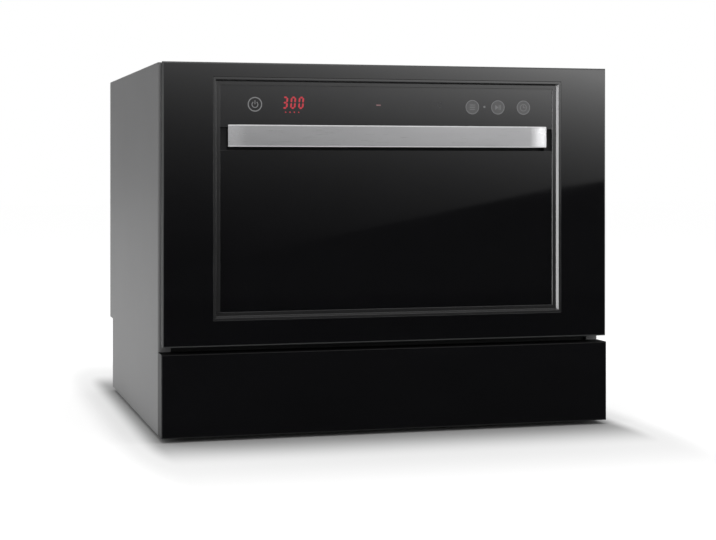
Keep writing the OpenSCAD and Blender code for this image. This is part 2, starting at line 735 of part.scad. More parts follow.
// Torsion springs wound round the hinge pins, which balance the door.
module hinge_springs() {
    wire = 0.9;
    turns = 5;
    room = bracket_x - cheek_in_x - cheek_t - 2 * wire - 2;
    color("dimgray") for (s = [-1, 1]) scale([s, 1, 1])
        translate([cheek_in_x + cheek_t + wire + 0.5, hinge_y, hinge_z])
            coil(turns, room / turns, hinge_pin_r + wire + 0.6, wire);
}

// Loop on the inner door's top edge that the cabinet's catch holds.
module door_strike() {
    color("silver") union() {
        difference() {
            block([-9, door_in_y, strike_z], [9, door_in_y + 24, strike_z + 3.5]);
            block([-5, door_in_y + 7, strike_z - 1], [5, door_in_y + 19, strike_z + 5]);
        }
        block([-14, door_in_y, strike_z - 3], [14, door_in_y + 1.5, strike_z + 3.5]);
    }
}

// ---- tub and cabinet -----------------------------------------------------

module tub_section(grow) {
    soft_rect(-tub_hw - grow, tub_hw + grow, ledge_z - grow, tub_z1 + grow,
              tub_low_corner + grow, tub_corner + grow);
}

module dish_section(grow) {
    r = 40 + grow;
    s = dish_r + grow;
    union() {
        square([2 * s - 2 * r, 2 * s], center = true);
        square([2 * s, 2 * s - 2 * r], center = true);
        for (x = [-1, 1]) for (y = [-1, 1]) translate([x * (s - r), y * (s - r)]) circle(r);
    }
}

// Deep-drawn stainless tub with its mouth flange and dished floor.
module tub() {
    color("silver") difference() {
        union() {
            from_front(tub_y0, tub_y1 + tub_wall) tub_section(tub_wall);
            from_front(tub_y0, tub_y0 + tub_wall) difference() {
                soft_rect(-tub_hw - tub_flange, tub_hw + tub_flange, ledge_z - tub_flange,
                          tub_z1 + tub_flange, tub_low_corner, tub_corner);
                translate([-tub_hw, ledge_z]) square([tub_w, tub_h / 2]);
            }
            translate([0, arm_y, dish_under]) linear_extrude(height = floor_dish) dish_section(tub_wall);
        }
        from_front(tub_y0 - 1, tub_y1) tub_section(0);
        translate([0, arm_y, dish_z]) linear_extrude(height = floor_dish + 1) dish_section(0);
        along_z(dish_under - 1, dish_z + 1, 0, arm_y, arm_pin_r + 5);
        along_z(dish_under - 1, dish_z + 1, filter_x, arm_y, filter_r + 5);
        along_z(dish_under - 1, dish_z + 1, salt_x, salt_y, 29);
        along_x(-tub_hw - tub_wall - 1, -tub_hw + 1, tub_y1 - 60, ledge_z + 90, 14);
        for (x = [-12, 12]) along_z(dish_under - 1, dish_z + 1, x, arm_y + heater_ring, heater_tube + 2);
    }
}

// Bulb seal between the tub's flange and the inner door.
module tub_gasket() {
    lip_y = door_in_y + 0.4;
    base_y = tub_y0;
    inner = 1;
    color("darkslategray") union() {
        from_front(base_y - 3, base_y) difference() {
            soft_rect(-tub_hw - gasket_w, tub_hw + gasket_w, ledge_z - gasket_w, tub_z1 + gasket_w,
                      tub_low_corner + 4, tub_corner + 4);
            soft_rect(-tub_hw - inner, tub_hw + inner, ledge_z - inner, tub_z1 + inner,
                      tub_low_corner + inner, tub_corner + inner);
        }
        from_front(lip_y, base_y - 3 + eps) difference() {
            soft_rect(-tub_hw - gasket_w + 1, tub_hw + gasket_w - 1, ledge_z - gasket_w + 1,
                      tub_z1 + gasket_w - 1, tub_low_corner + 3, tub_corner + 3);
            soft_rect(-tub_hw - inner - 1.5, tub_hw + inner + 1.5, ledge_z - inner - 1.5,
                      tub_z1 + inner + 1.5, tub_low_corner + 2.5, tub_corner + 2.5);
        }
    }
}

// Bitumen felt laid over the tub against noise.
module sound_mat() {
    t = 2.5;
    gap = 0.2;
    y0 = frame_y + 12;
    y1 = tub_y1 - 6;
    x1 = tub_hw + tub_wall + gap;
    color("black") difference() {
        union() {
            block([-tub_hw + tub_corner, y0, tub_z1 + tub_wall + gap],
                  [tub_hw - tub_corner, y1, tub_z1 + tub_wall + gap + t]);
            for (s = [-1, 1]) scale([s, 1, 1])
                block([x1, y0, ledge_z + 26], [x1 + t, y1, tub_z1 - tub_corner]);
        }
        along_x(-x1 - t - 1, -x1 + 1, tub_y1 - 60, ledge_z + 90, 19);
    }
}

// One side panel; the right-hand one faces +X.
module side_panel() {
    top_z = cab_h - sheet;
    difference() {
        union() {
            translate([0, 0, foot_h]) linear_extrude(height = top_z - foot_h) union() {
                translate([hw - sheet, side_y + bend_r]) square([sheet, rear_y - side_y - bend_r]);
                translate([hw - bend_r - flange_w, side_y]) square([flange_w, sheet]);
                difference() {
                    intersection() {
                        translate([hw - bend_r, side_y + bend_r]) circle(bend_r);
                        translate([hw - bend_r, side_y]) square(bend_r);
                    }
                    translate([hw - bend_r, side_y + bend_r]) circle(bend_r - sheet);
                }
                translate([hw - flange_w, rear_y - 2 * sheet]) square([flange_w, sheet]);
            }
            block([hw - flange_w, side_y + bend_r, top_z - sheet], [hw - sheet + eps, rear_y - 2 * sheet, top_z]);
            block([hw - flange_w, side_y + bend_r, foot_h],
                  [hw - sheet + eps, low_back_y - sheet, foot_h + sheet]);
        }
        block([0, low_back_y, foot_h - 1], [hw + 1, back_y + 1, inset_h]);
        block([bracket_x - 1, side_y - 1, hinge_z - 10], [bracket_x + bracket_t + 1, side_y + sheet + 1, hinge_z + 10]);
        for (z = rear_screw_zs) along_y(rear_y - 3 * sheet, rear_y, rear_screw_x, z, screw_r + play);
    }
}

rear_screw_x = hw - 8;
rear_screw_zs = [inset_h + 12, cab_h - sheet - 12];
screw_r = 1.6;

module left_side_panel() { color("gray") mirror([1, 0, 0]) side_panel(); }
module right_side_panel() { color("gray") side_panel(); }

module top_panel() {
    skirt_hw = hw - flange_w - bend_r - 2;
    color("gray") union() {
        block([-hw, side_y, cab_h - sheet], [hw, rear_y, cab_h]);
        for (s = [-1, 1]) scale([s, 1, 1])
            block([18, side_y, cab_h - flange_w], [skirt_hw, side_y + sheet, cab_h - sheet + eps]);
    }
}

// Rear panel stiffened by pressed beads, which stand inwards.
module rear_panel() {
    z0 = inset_h;
    z1 = cab_h - sheet;
    bead = 3;
    half = 12;
    bead_hw = hw - flange_w - 8;
    mids = [for (i = [1:3]) z0 + i * (z1 - z0) / 4];
    color("gray") difference() {
        union() {
            difference() {
                block([-hw + sheet, rear_y - sheet, z0], [hw - sheet, rear_y, z1]);
                for (m = mids) block([-bead_hw, rear_y - 2 * sheet, m - half], [bead_hw, rear_y + 1, m + half]);
            }
            for (m = mids) difference() {
                from_side(-bead_hw - eps, bead_hw + eps) polygon([[rear_y, m - half - eps],
                    [rear_y - sheet, m - half - eps], [rear_y - sheet - bead, m - half + bead],
                    [rear_y - sheet - bead, m + half - bead], [rear_y - sheet, m + half + eps],
                    [rear_y, m + half + eps]]);
                from_side(-bead_hw + sheet, bead_hw - sheet) polygon([[rear_y + 1, m - half],
                    [rear_y, m - half], [rear_y - bead, m - half + bead],
                    [rear_y - bead, m + half - bead], [rear_y, m + half], [rear_y + 1, m + half]]);
            }
        }
        for (s = [-1, 1]) for (z = rear_screw_zs)
            along_y(rear_y - 2 * sheet, rear_y + 1, s * rear_screw_x, z, screw_r + play);
    }
}

// Set-in lower rear panel with the passages for water, drain and cord.
module lower_rear_panel() {
    y0 = low_back_y - sheet;
    slots = 9;
    color("gray") difference() {
        union() {
            block([-hw + sheet, y0, foot_h], [hw - sheet, low_back_y, inset_h]);
            block([-hw + sheet, y0, inset_h - sheet], [hw - sheet, rear_y - sheet, inset_h]);
        }
        along_y(y0 - 1, low_back_y + 1, inlet_x, inlet_z, inlet_dia / 2 + 1);
        along_y(y0 - 1, low_back_y + 1, drain_pump_x, drain_z, drain_dia / 2 + 1);
        along_y(y0 - 1, low_back_y + 1, cord_x, drain_z, cord_dia / 2 + 4);
        for (i = [0:slots - 1]) translate([-80 + i * 14, y0 - 1, 36]) cube([5, sheet + 2, 40]);
    }
}

tray_x = hw - sheet - 0.5;
tray_y0 = tub_y0 + 2;
tray_y1 = low_back_y - sheet - 0.5;
tray_z = foot_h + sheet;

// Moulded base tray that catches leaks and carries the tub and the pumps.
module base_tray() {
    leg = 20;
    legs_x = tub_hw - leg / 2;
    legs_y = dish_r - 40;
    color("darkgray") union() {
        difference() {
            block([-tray_x, tray_y0, tray_z], [tray_x, tray_y1, tray_z + tray_h]);
            block([-tray_x + tray_wall, tray_y0 + tray_wall, tray_z + tray_wall],
                  [tray_x - tray_wall, tray_y1 - tray_wall, tray_z + tray_h + 1]);
        }
        for (sx = [-1, 1]) for (sy = [-1, 1]) translate([sx * legs_x, arm_y + sy * legs_y, 0]) difference() {
            block([-leg / 2, -leg / 2 + 2, tray_z + eps], [leg / 2, leg / 2 - 2, ledge_z - tub_wall - seat]);
            block([-leg / 2 + 3, -leg / 2 + 5, tray_z + tray_wall], [leg / 2 - 3, leg / 2 - 5, ledge_z - 8]);
        }
        for (x = [pump_x - 40, pump_x - 90]) difference() {
            block([x, arm_y - 30, tray_z + eps], [x + 8, arm_y + 30, pump_z - 20]);
            along_x(x - 1, x + 9, arm_y, pump_z, 38 + seat);
        }
        for (x = [drain_pump_x + 16, drain_pump_x + 40]) difference() {
            block([x, arm_y - 16, tray_z + eps], [x + 6, arm_y + 16, drain_z - 20]);
            along_x(x - 1, x + 7, arm_y, drain_z - 12, 20 + seat);
        }
        difference() {
            along_z(tray_z + eps, tray_z + 20, float_x, float_y, 26);
            along_z(tray_z + tray_wall, tray_z + 21, float_x, float_y, 24);
            block([float_x - 3, float_y - 30, tray_z + tray_wall], [float_x + 3, float_y + 30, tray_z + 8]);
        }
        along_z(tray_z + eps, salt_foot_z, salt_x, salt_y, 30);
        along_z(tray_z + eps, sump_z0, filter_x, arm_y, 20);
    }
}

float_x = 180;
float_y = tray_y0 + 60;
salt_foot_z = tray_z + 8;
sump_z0 = drain_z - 26;

// Kick plate below the door, folded back to the side panels.
module kick_plate() {
    wall = 2.5;
    lip = 1;
    color("black") difference() {
        union() {
            block([-hw, front_y + lip, foot_h], [hw, side_y - seat, kick_top]);
            hull() {
                block([-hw, front_y + lip, foot_h], [hw, front_y + lip + eps, kick_top]);
                block([-hw + lip, front_y, foot_h + lip], [hw - lip, front_y + eps, kick_top - lip]);
            }
        }
        block([-hw + wall, front_y + wall, foot_h + wall], [hw - wall, side_y + 1, kick_top - wall]);
    }
}

module feet() {
    stem_r = foot_r * 0.6;
    color("black") for (s = [-1, 1]) for (y = [tub_y0 + foot_inset / 2, low_back_y - foot_inset])
        translate([s * (hw - foot_inset), y, 0]) union() {
            cylinder(h = foot_h, r1 = foot_r, r2 = foot_r - 2);
            cylinder(h = tray_z, r = stem_r);
        }
}

// Sheet frame behind the tub's flange, which closes the cabinet's front.
module front_frame() {
    y0 = frame_y;
    open_hw = tub_hw + tub_wall + 0.3;
    x1 = hw - sheet - 0.2;
    z0 = tray_z + tray_h + 6;
    color("dimgray") difference() {
        union() {
            block([-x1, y0, z0], [x1, y0 + sheet, cab_h - 2 * sheet]);
            block([-x1, y0, z0], [x1, y0 + 10, z0 + sheet]);
            block([-x1, y0, cab_h - 3 * sheet], [x1, y0 + 10, cab_h - 2 * sheet]);
        }
        from_front(y0 - 1, y0 + 12) soft_rect(-open_hw, open_hw, ledge_z - tub_wall - 0.3,
            tub_z1 + tub_wall + 0.3, tub_low_corner, tub_corner);
        for (s = [-1, 1]) translate([s * (bracket_x + bracket_t / 2), 0, 0])
            block([-bracket_t / 2 - 1, y0 - 1, z0 - 1], [bracket_t / 2 + 1, y0 + 12, hinge_z + 12]);
        block([-12, y0 - 1, strike_z - 1.5], [12, y0 + 8, strike_z + 5.5]);
    }
}

// Hinge brackets standing on the base tray, with the bores for the hinge pins.
module hinge_brackets() {
    color("darkgray") for (s = [-1, 1]) scale([s, 1, 1]) union() {
        from_side(bracket_x, bracket_x + bracket_t) difference() {
            union() {
                translate([hinge_y, hinge_z]) circle(7.5);
                polygon([[hinge_y, hinge_z - 7.5], [tub_y0 + 6, hinge_z - 7.5],
                         [tub_y0 + 6, tray_z + tray_wall + 4], [tub_y0 + 40, tray_z + tray_wall + 4],
                         [tub_y0 + 40, hinge_z - 30], [tub_y0 + 14, hinge_z + 7.5], [hinge_y, hinge_z + 7.5]]);
            }
            translate([hinge_y, hinge_z]) circle(hinge_pin_r + play / 2);
        }
        block([bracket_x - 12, tub_y0 + 8, tray_z + tray_wall], [bracket_x + bracket_t, tub_y0 + 38,
              tray_z + tray_wall + 4]);
    }
}

catch_y = door_in_y + 40;
catch_z = strike_z - 2.5;

// Carrier of the door catch and the door switch, under the top panel.
module latch_housing() {
    y0 = frame_y + sheet;
    z0 = tub_z1 + tub_wall + 3.2;
    z1 = cab_h - 2 * sheet - 0.2;
    color("dimgray") difference() {
        block([-22, frame_y + 10.3, z0], [22, catch_y + 24, z1]);
        block([-13, y0, z0 + 1.2], [13, catch_y + 14, z1 + 1]);
        along_x(-30, 30, catch_y, catch_z, 1.5);
    }
}

// Sprung rocker that presses up under the strike.
module latch_catch() {
    color("gold") union() {
        from_side(-4, 4) union() {
            polygon([[catch_y - 24, catch_z + 1], [catch_y - 20, catch_z + 2.5 - seat],
                     [catch_y - 14, catch_z + 2.5 - seat], [catch_y - 10, catch_z + 1],
                     [catch_y + 8, catch_z + 1], [catch_y + 8, catch_z - 1], [catch_y - 24, catch_z - 1]]);
            translate([catch_y, catch_z]) circle(1.8);
        }
        along_x(-21.5, 21.5, catch_y, catch_z, 1.5 - play);
    }
}

// ---- wash works ----------------------------------------------------------

// Threaded tube through the tub's floor that feeds and carries the spray arm.
module spray_hub() {
    color("lightgray") difference() {
        union() {
            along_z(dish_under - 12, dish_z + 2, 0, arm_y, arm_pin_r + 4.5);
            along_z(dish_z, dish_z + 4, 0, arm_y, arm_pin_r + 10);
            along_z(dish_z, arm_z + arm_h + 2, 0, arm_y, arm_pin_r);
        }
        along_z(dish_under - 13, arm_z + arm_h - 2, 0, arm_y, arm_pin_r - 2.5);
        for (a = [0, 90]) translate([0, arm_y, arm_z + arm_h / 2]) rotate([0, 0, a])
            along_x(-arm_pin_r - 1, arm_pin_r + 1, 0, 0, 2);
    }
}

// Two-bladed spray arm with swept blades and a row of nozzles on each.
module spray_arm() {
    sweep = 16;
    tip_r = 9;
    blade_h = arm_h - 2;
    cap_r = arm_pin_r + 8;
    elbow = arm_reach * 0.5;
    color("lightgray") difference() {
        union() {
            translate([0, arm_y, arm_z]) for (a = [0, 180]) rotate([0, 0, a]) {
                hull() {
                    cylinder(h = blade_h, r = cap_r, $fn = 32);
                    translate([elbow, sweep / 2, 0]) cylinder(h = blade_h, r = 14, $fn = 32);
                }
                hull() {
                    translate([elbow, sweep / 2, 0]) cylinder(h = blade_h, r = 14, $fn = 32);
                    translate([arm_reach - tip_r, sweep / 4 - 4, 0]) cylinder(h = blade_h - 1, r = tip_r, $fn = 32);
                }
                for (i = [1:5]) translate([i * (arm_reach - 20) / 5, i * 1.6, blade_h - 1])
                    cylinder(h = 2, r = 4);
            }
            along_z(arm_z, arm_z + arm_h, 0, arm_y, cap_r - 1);
        }
        along_z(arm_z - 1, arm_z + arm_h + 1, 0, arm_y, arm_pin_r + play / 2);
        translate([0, arm_y, arm_z]) for (a = [0, 180]) rotate([0, 0, a])
            for (i = [1:5]) translate([i * (arm_reach - 20) / 5, i * 1.6, blade_h - 3])
                cylinder(h = 8, r = 1.5);
    }
}

// Fine filter plate lying on the dished floor.
module filter_plate() {
    r = min(filter_r + 14, heater_ring - heater_tube - filter_x - 4);
    color("silver") difference() {
        along_z(dish_z, dish_z + 1, filter_x, arm_y, r);
        along_z(dish_z - 1, dish_z + 2, filter_x, arm_y, filter_r + 1);
        for (a = [0:15:345]) translate([filter_x, arm_y, dish_z - 1]) rotate([0, 0, a])
            translate([(r + filter_r + 1) / 2, 0, 0]) cylinder(h = 3, r = 1.5);
    }
}

// Coarse filter: a slotted cup under a rim with a grip across it.
module coarse_filter() {
    z0 = dish_under - 52;
    rim = dish_z + 1 + seat;
    slots = 16;
    color("gray") difference() {
        union() {
            along_z(z0, rim + 1, filter_x, arm_y, filter_r);
            along_z(rim, rim + 2, filter_x, arm_y, filter_r + 5);
            difference() {
                along_z(rim, rim + 7.5, filter_x, arm_y, 12);
                block([filter_x - 13, arm_y - 13, rim + 2], [filter_x + 13, arm_y - 2, rim + 8]);
                block([filter_x - 13, arm_y + 2, rim + 2], [filter_x + 13, arm_y + 13, rim + 8]);
            }
        }
        difference() {
            along_z(z0 + 2, rim + 3, filter_x, arm_y, filter_r - 2);
            along_z(rim - 8, rim + 8, filter_x, arm_y, 12);
            block([filter_x - filter_r, arm_y - 1.5, rim - 2], [filter_x + filter_r, arm_y + 1.5, rim + 2]);
        }
        for (i = [0:slots / 2 - 1]) translate([filter_x, arm_y, 0]) rotate([0, 0, (i + 0.5) * 360 / slots])
            block([-filter_r - 1, -2, z0 + 8], [filter_r + 1, 2, dish_under - 14]);
    }
}

// Moulded sump under the tub, with the well for the filter and the feed to the hub.
module sump() {
    wall = 3;
    well_r = filter_r + 6;
    z0 = sump_z0;
    color("dimgray") difference() {
        union() {
            along_z(z0, dish_under, filter_x, arm_y, well_r + wall);
            block([pump_x - 14, arm_y - 18, dish_under - 20], [filter_x, arm_y + 18, dish_under]);
            along_x(pump_x + 13 + seat, filter_x - well_r, arm_y, pump_z, 14);
            along_x(filter_x + well_r, drain_pump_x - 12 - seat, arm_y, drain_z - 12, 11);
        }
        along_z(z0 + wall, dish_under + 1, filter_x, arm_y, well_r);
        along_z(dish_under - 13, dish_under + 1, 0, arm_y, arm_pin_r + 4.5 + play);
        along_x(pump_x, filter_x - well_r + 5, arm_y, pump_z, 11);
        along_x(filter_x + well_r - 5, drain_pump_x, arm_y, drain_z - 12, 8);
    }
}

impeller_r = 27;

// Circulation pump: a volute on the sump's side and the motor behind it.
module circulation_pump() {
    color("gray") difference() {
        union() {
            along_x(pump_x - 13, pump_x + 13, arm_y, pump_z, impeller_r + 7);
            along_x(pump_x - 118, pump_x - 13, arm_y, pump_z, 30);
            along_x(pump_x - 108, pump_x - 28, arm_y, pump_z, 38);
            along_z(pump_z + impeller_r, dish_under - 20 - seat, pump_x, arm_y, 11);
            for (a = [0:30:330]) translate([pump_x - 24, arm_y, pump_z]) rotate([a, 0, 0])
                translate([0, 0, 27]) cube([14, 3, 6], center = true);
        }
        along_x(pump_x - 10, pump_x + 10, arm_y, pump_z, impeller_r + 3);
        along_x(pump_x, pump_x + 14, arm_y, pump_z, 11);
        along_x(pump_x - 30, pump_x, arm_y, pump_z, 3 + play);
    }
}

// A pump wheel: hub, back plate and curved blades, on its shaft along X.
module pump_wheel(r, width, blades, shaft_len) {
    union() {
        along_x(-width, -width + 2, 0, 0, r);
        along_x(-shaft_len, width * 0.6, 0, 0, 3);
        along_x(-width, width * 0.5, 0, 0, 7);
        for (k = [0:blades - 1]) rotate([k * 360 / blades, 0, 0])
            translate([-width + 1, -1, 5]) rotate([-18, 0, 0]) cube([width * 1.4, 2, r - 8]);
    }
}

module pump_impeller() {
    color("whitesmoke") translate([pump_x, arm_y, pump_z]) pump_wheel(impeller_r, 8, 6, 26);
}

module drain_impeller() {
    color("whitesmoke") translate([drain_pump_x, arm_y, drain_z - 12]) mirror([1, 0, 0])
        pump_wheel(16, 7, 4, 20);
}

// Drain pump on the sump's other side.
module drain_pump() {
    z = drain_z - 12;
    color("dimgray") difference() {
        union() {
            along_x(drain_pump_x - 12, drain_pump_x + 12, arm_y, z, 23);
            along_x(drain_pump_x + 12, drain_pump_x + 56, arm_y, z, 20);
            along_y(arm_y, arm_y + 34, drain_pump_x, drain_z, 8.4);
        }
        along_x(drain_pump_x - 9, drain_pump_x + 9, arm_y, z, 19);
        along_x(drain_pump_x - 13, drain_pump_x, arm_y, z, 8);
        along_x(drain_pump_x, drain_pump_x + 30, arm_y, z, 3 + play);
        along_y(arm_y + 8, arm_y + 35, drain_pump_x, drain_z, 6.4);
    }
}

// Ring-shaped heating element on the dished floor, with its two gland ends.
module heater() {
    z = dish_z + heater_tube + 1.5;
    lead_x = 12;
    gap = asin(lead_x / heater_ring);
    color("dimgray") union() {
        translate([0, arm_y, z]) rotate([0, 0, 90 + gap])
            rotate_extrude(angle = 360 - 2 * gap) translate([heater_ring, 0]) circle(heater_tube);
        for (x = [-lead_x, lead_x]) {
            along_z(dish_under - 14, z + heater_tube + 0.8, x, arm_y + heater_ring * cos(gap), heater_tube + 0.8);
            along_z(dish_under - 4, dish_under, x, arm_y + heater_ring * cos(gap), heater_tube + 4);
            along_z(dish_under - 22, dish_under - 13, x, arm_y + heater_ring * cos(gap), 1.5);
        }
        for (a = [150, 270, 30]) translate([0, arm_y, 0]) rotate([0, 0, a])
            block([heater_ring - 4, -3, dish_z], [heater_ring + 4, 3, dish_z + 2.5]);
    }
}

// Inlet valve with its threaded spigot through the lower rear panel.
module inlet_valve() {
    body_y = low_back_y - sheet - 6;
    body_z0 = inlet_z - 22;
    color("white") union() {
        along_y(low_back_y - sheet - 6, low_back_y + 6, inlet_x, inlet_z, inlet_dia / 2 - 1.2);
        along_y(low_back_y + 6 - eps, low_back_y + 6 + inlet_len, inlet_x, inlet_z, inlet_dia / 2);
        block([inlet_x - 21, body_y - 34, body_z0], [inlet_x + 21, body_y, inlet_z + 22]);
        along_y(body_y - 2, low_back_y - sheet, inlet_x, inlet_z, inlet_dia / 2 + 4);
        along_z(inlet_z + 22 - eps, inlet_z + 46, inlet_x + 4, body_y - 17, 14);
        along_x(inlet_x - 34, inlet_x - 21 + eps, body_y - 17, inlet_z, 6);
        block([inlet_x - 15, body_y - 30, tray_z + tray_wall], [inlet_x + 15, body_y - 6, body_z0 + eps]);
    }
}

module drain_outlet() {
    y0 = low_back_y - sheet;
    r = drain_dia / 2;
    color("dimgray") difference() {
        union() {
            along_y(y0 - 24, low_back_y + drain_len, drain_pump_x, drain_z, r - 0.8);
            along_y(low_back_y + 4, low_back_y + drain_len - 1, drain_pump_x, drain_z, r);
            along_y(y0 - 4, y0, drain_pump_x, drain_z, r + 5);
        }
        along_y(y0 - 25, low_back_y + drain_len + 1, drain_pump_x, drain_z, r - 2.8);
    }
}

// Gland that the mains cord passes through, clamped in the lower rear panel.
module cord_gland() {
    r = cord_dia / 2;
    color("black") difference() {
        union() {
            along_y(low_back_y - sheet - 8, low_back_y + 2, cord_x, drain_z, r + 3.7);
            along_y(low_back_y, low_back_y + 6, cord_x, drain_z, r + 6);
            along_y(low_back_y - sheet - 5, low_back_y - sheet, cord_x, drain_z, r + 6);
        }
        along_y(low_back_y - sheet - 9, low_back_y + 7, cord_x, drain_z, r);
    }
}

// Salt container of the softener, its neck through the tub's floor.
module salt_container() {
    color("whitesmoke") difference() {
        union() {
            along_z(salt_foot_z, dish_under - 6, salt_x, salt_y, 50);
            along_z(dish_under - 6 - eps, dish_under, salt_x, salt_y, 36);
            along_z(dish_under - eps, dish_z + 3, salt_x, salt_y, 28);
        }
        along_z(salt_foot_z + 3, dish_under - 9, salt_x, salt_y, 47);
        along_z(dish_under - 12, dish_z + 4, salt_x, salt_y, 25);
    }
}

module salt_cap() {
    z = dish_z + 3 + seat;
    color("lightgray") difference() {
        union() {
            along_z(z - 10, z + eps, salt_x, salt_y, 24.6);
            along_z(z, z + 3.5, salt_x, salt_y, 31);
            block([salt_x - 20, salt_y - 2, z + 3.5 - eps], [salt_x + 20, salt_y + 2, z + 6.5]);
        }
        along_z(z - 11, z - 1, salt_x, salt_y, 22);
        for (a = [0:15:345]) translate([salt_x, salt_y, z + 0.5]) rotate([0, 0, a])
            translate([31.4, 0, 0]) cylinder(h = 4, r = 1.2);
    }
}

// Flat water chamber between the tub and the left side panel.
module water_chamber() {
    x0 = -hw + sheet + 2;
    x1 = -tub_hw - tub_wall - 3.4;
    y0 = arm_y + 20;
    y1 = tub_y1 - 4;
    z0 = ledge_z + 14;
    z1 = tub_z1 - 60;
    fill_y = low_back_y - sheet - 6 - 17;
    color("aliceblue") difference() {
        union() {
            from_side(x0, x1) union() {
                translate([y0, z0]) square([y1 - y0, z1 - z0]);
                translate([y0 + 10, z1 - 1]) square([y1 - y0 - 20, 12]);
            }
            along_x(x1 - eps, -tub_hw, tub_y1 - 60, ledge_z + 90, 13.5);
            along_z(z0 - 12, z0 + eps, (x0 + x1) / 2, fill_y, 6);
        }
        difference() {
            block([x0 + 2, y0 + 2, z0 + 2], [x1 - 2, y1 - 2, z1 - 2]);
            for (i = [0:3]) block([x0, y0 + (i % 2) * 30, z0 + 34 + i * 36], [x1, y1 - 30 + (i % 2) * 30, z0 + 36 + i * 36]);
        }
        along_z(z0 - 13, z0 + 3, (x0 + x1) / 2, fill_y, 4.2);
        along_x(x1 - 6, -tub_hw + 1, tub_y1 - 60, ledge_z + 90, 11);
    }
}

// Control electronics in their box at the base's front left.
module power_board() {
    x0 = -tray_x + 62;
    y0 = tray_y0 + 24;
    z0 = tray_z + tray_wall;
    color("darkgreen") union() {
        difference() {
            block([x0, y0, z0], [x0 + 110, y0 + 90, z0 + 42]);
            block([x0 + 2, y0 + 2, z0 + 2], [x0 + 108, y0 + 88, z0 + 43]);
        }
        block([x0 + 2 - eps, y0 + 2 - eps, z0 + 12], [x0 + 108 + eps, y0 + 88 + eps, z0 + 13.6]);
        for (i = [0:3]) block([x0 + 12 + i * 22, y0 + 12, z0 + 13.6 - eps], [x0 + 26 + i * 22, y0 + 30, z0 + 28]);
        block([x0 + 14, y0 + 48, z0 + 13.6 - eps], [x0 + 50, y0 + 78, z0 + 36]);
        for (i = [0:2]) along_z(z0 + 13.6 - eps, z0 + 34, x0 + 64 + i * 15, y0 + 62, 6);
    }
}

// Drain hose and fill hose, each pushed over its spigots.
module hoses() {
    bend = 18;
    fill_x = (-hw + sheet + 2 - tub_hw - tub_wall - 3.4) / 2;
    fill_y = low_back_y - sheet - 6 - 17;
    start_x = inlet_x - 24;
    tube_r = 9;
    bore_r = 6 + play;
    drain_bore = drain_dia / 2 - 0.8 + play;
    color("dimgray") {
        difference() {
            along_y(arm_y + 24, low_back_y - sheet - 8, drain_pump_x, drain_z, drain_dia / 2 + 2);
            along_y(arm_y + 23, low_back_y - sheet - 7, drain_pump_x, drain_z, drain_bore);
        }
        union() {
            difference() {
                along_x(fill_x + bend, start_x, fill_y, inlet_z, tube_r);
                along_x(fill_x + bend - 1, start_x + 1, fill_y, inlet_z, bore_r);
            }
            difference() {
                along_z(inlet_z + bend, ledge_z + 13, fill_x, fill_y, tube_r);
                along_z(inlet_z + bend - 1, ledge_z + 14, fill_x, fill_y, bore_r);
            }
            translate([fill_x + bend, fill_y, inlet_z + bend]) rotate([90, 0, 0]) rotate([0, 0, 180])
                rotate_extrude(angle = 90) translate([bend, 0]) difference() {
                    circle(tube_r);
                    circle(bore_r);
                }
        }
    }
}

module float() {
    z0 = tray_z + tray_wall + seat;
    color("orange") union() {
        along_z(z0, z0 + 12, float_x, float_y, 20);
        along_z(z0 + 12 - eps, z0 + 26, float_x, float_y, 3);
    }
}

// Float switch on its post, above the float's stem.
module float_switch() {
    z0 = tray_z + tray_wall + 26 + 9;
    color("dimgray") union() {
        block([float_x - 14, float_y - 6, z0], [float_x + 14, float_y + 6, z0 + 16]);
        block([float_x + 30, float_y - 6, tray_z + tray_wall], [float_x + 34, float_y + 6, z0 + 16]);
        block([float_x + 14 - eps, float_y - 6, z0 + 12], [float_x + 30 + eps, float_y + 6, z0 + 16]);
    }
}

// Screws that hold the rear panel to the side panels' flanges.
module panel_screws() {
    color("silver") for (s = [-1, 1]) for (z = rear_screw_zs) union() {
        along_y(rear_y, back_y, s * rear_screw_x, z, 3.4);
        along_y(rear_y - 5, rear_y + eps, s * rear_screw_x, z, screw_r);
    }
}

left_side_panel();
right_side_panel();
top_panel();
rear_panel();
lower_rear_panel();
base_tray();
kick_plate();
feet();
front_frame();
tub();
tub_gasket();
sound_mat();
hinge_brackets();
latch_housing();
spray_hub();
filter_plate();
sump();
circulation_pump();
drain_pump();
heater();
inlet_valve();
drain_outlet();
cord_gland();
salt_container();
water_chamber();
power_board();
hoses();
float_switch();
panel_screws();
door_glass();
door_trim();
lower_glass();
control_glass();
door_carrier();
handle_bar();
display_module();
touch_board();
door_pad();
door_liner();
detergent_dispenser();
hinge_arms();
hinge_springs();
door_strike();
detergent_lid();
rinse_cap();
lid_latch();
basket();
plate_tines();
front_rollers();
rear_rollers();
left_cup_shelf();
right_cup_shelf();
cutlery_basket();
spray_arm();
coarse_filter();
pump_impeller();
drain_impeller();
salt_cap();
float();
latch_catch();
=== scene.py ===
"""Looks of a countertop dishwasher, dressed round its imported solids.

The solids load as a fixed frame. Each sub-assembly is a class that replaces or
dresses its own nodes, and the studio adds floor, lights and camera.
"""
from __future__ import annotations

import json
import logging
import math
from dataclasses import dataclass, field
from enum import Enum
from typing import Callable, Sequence

import bmesh
import bpy
from mathutils import Matrix, Vector

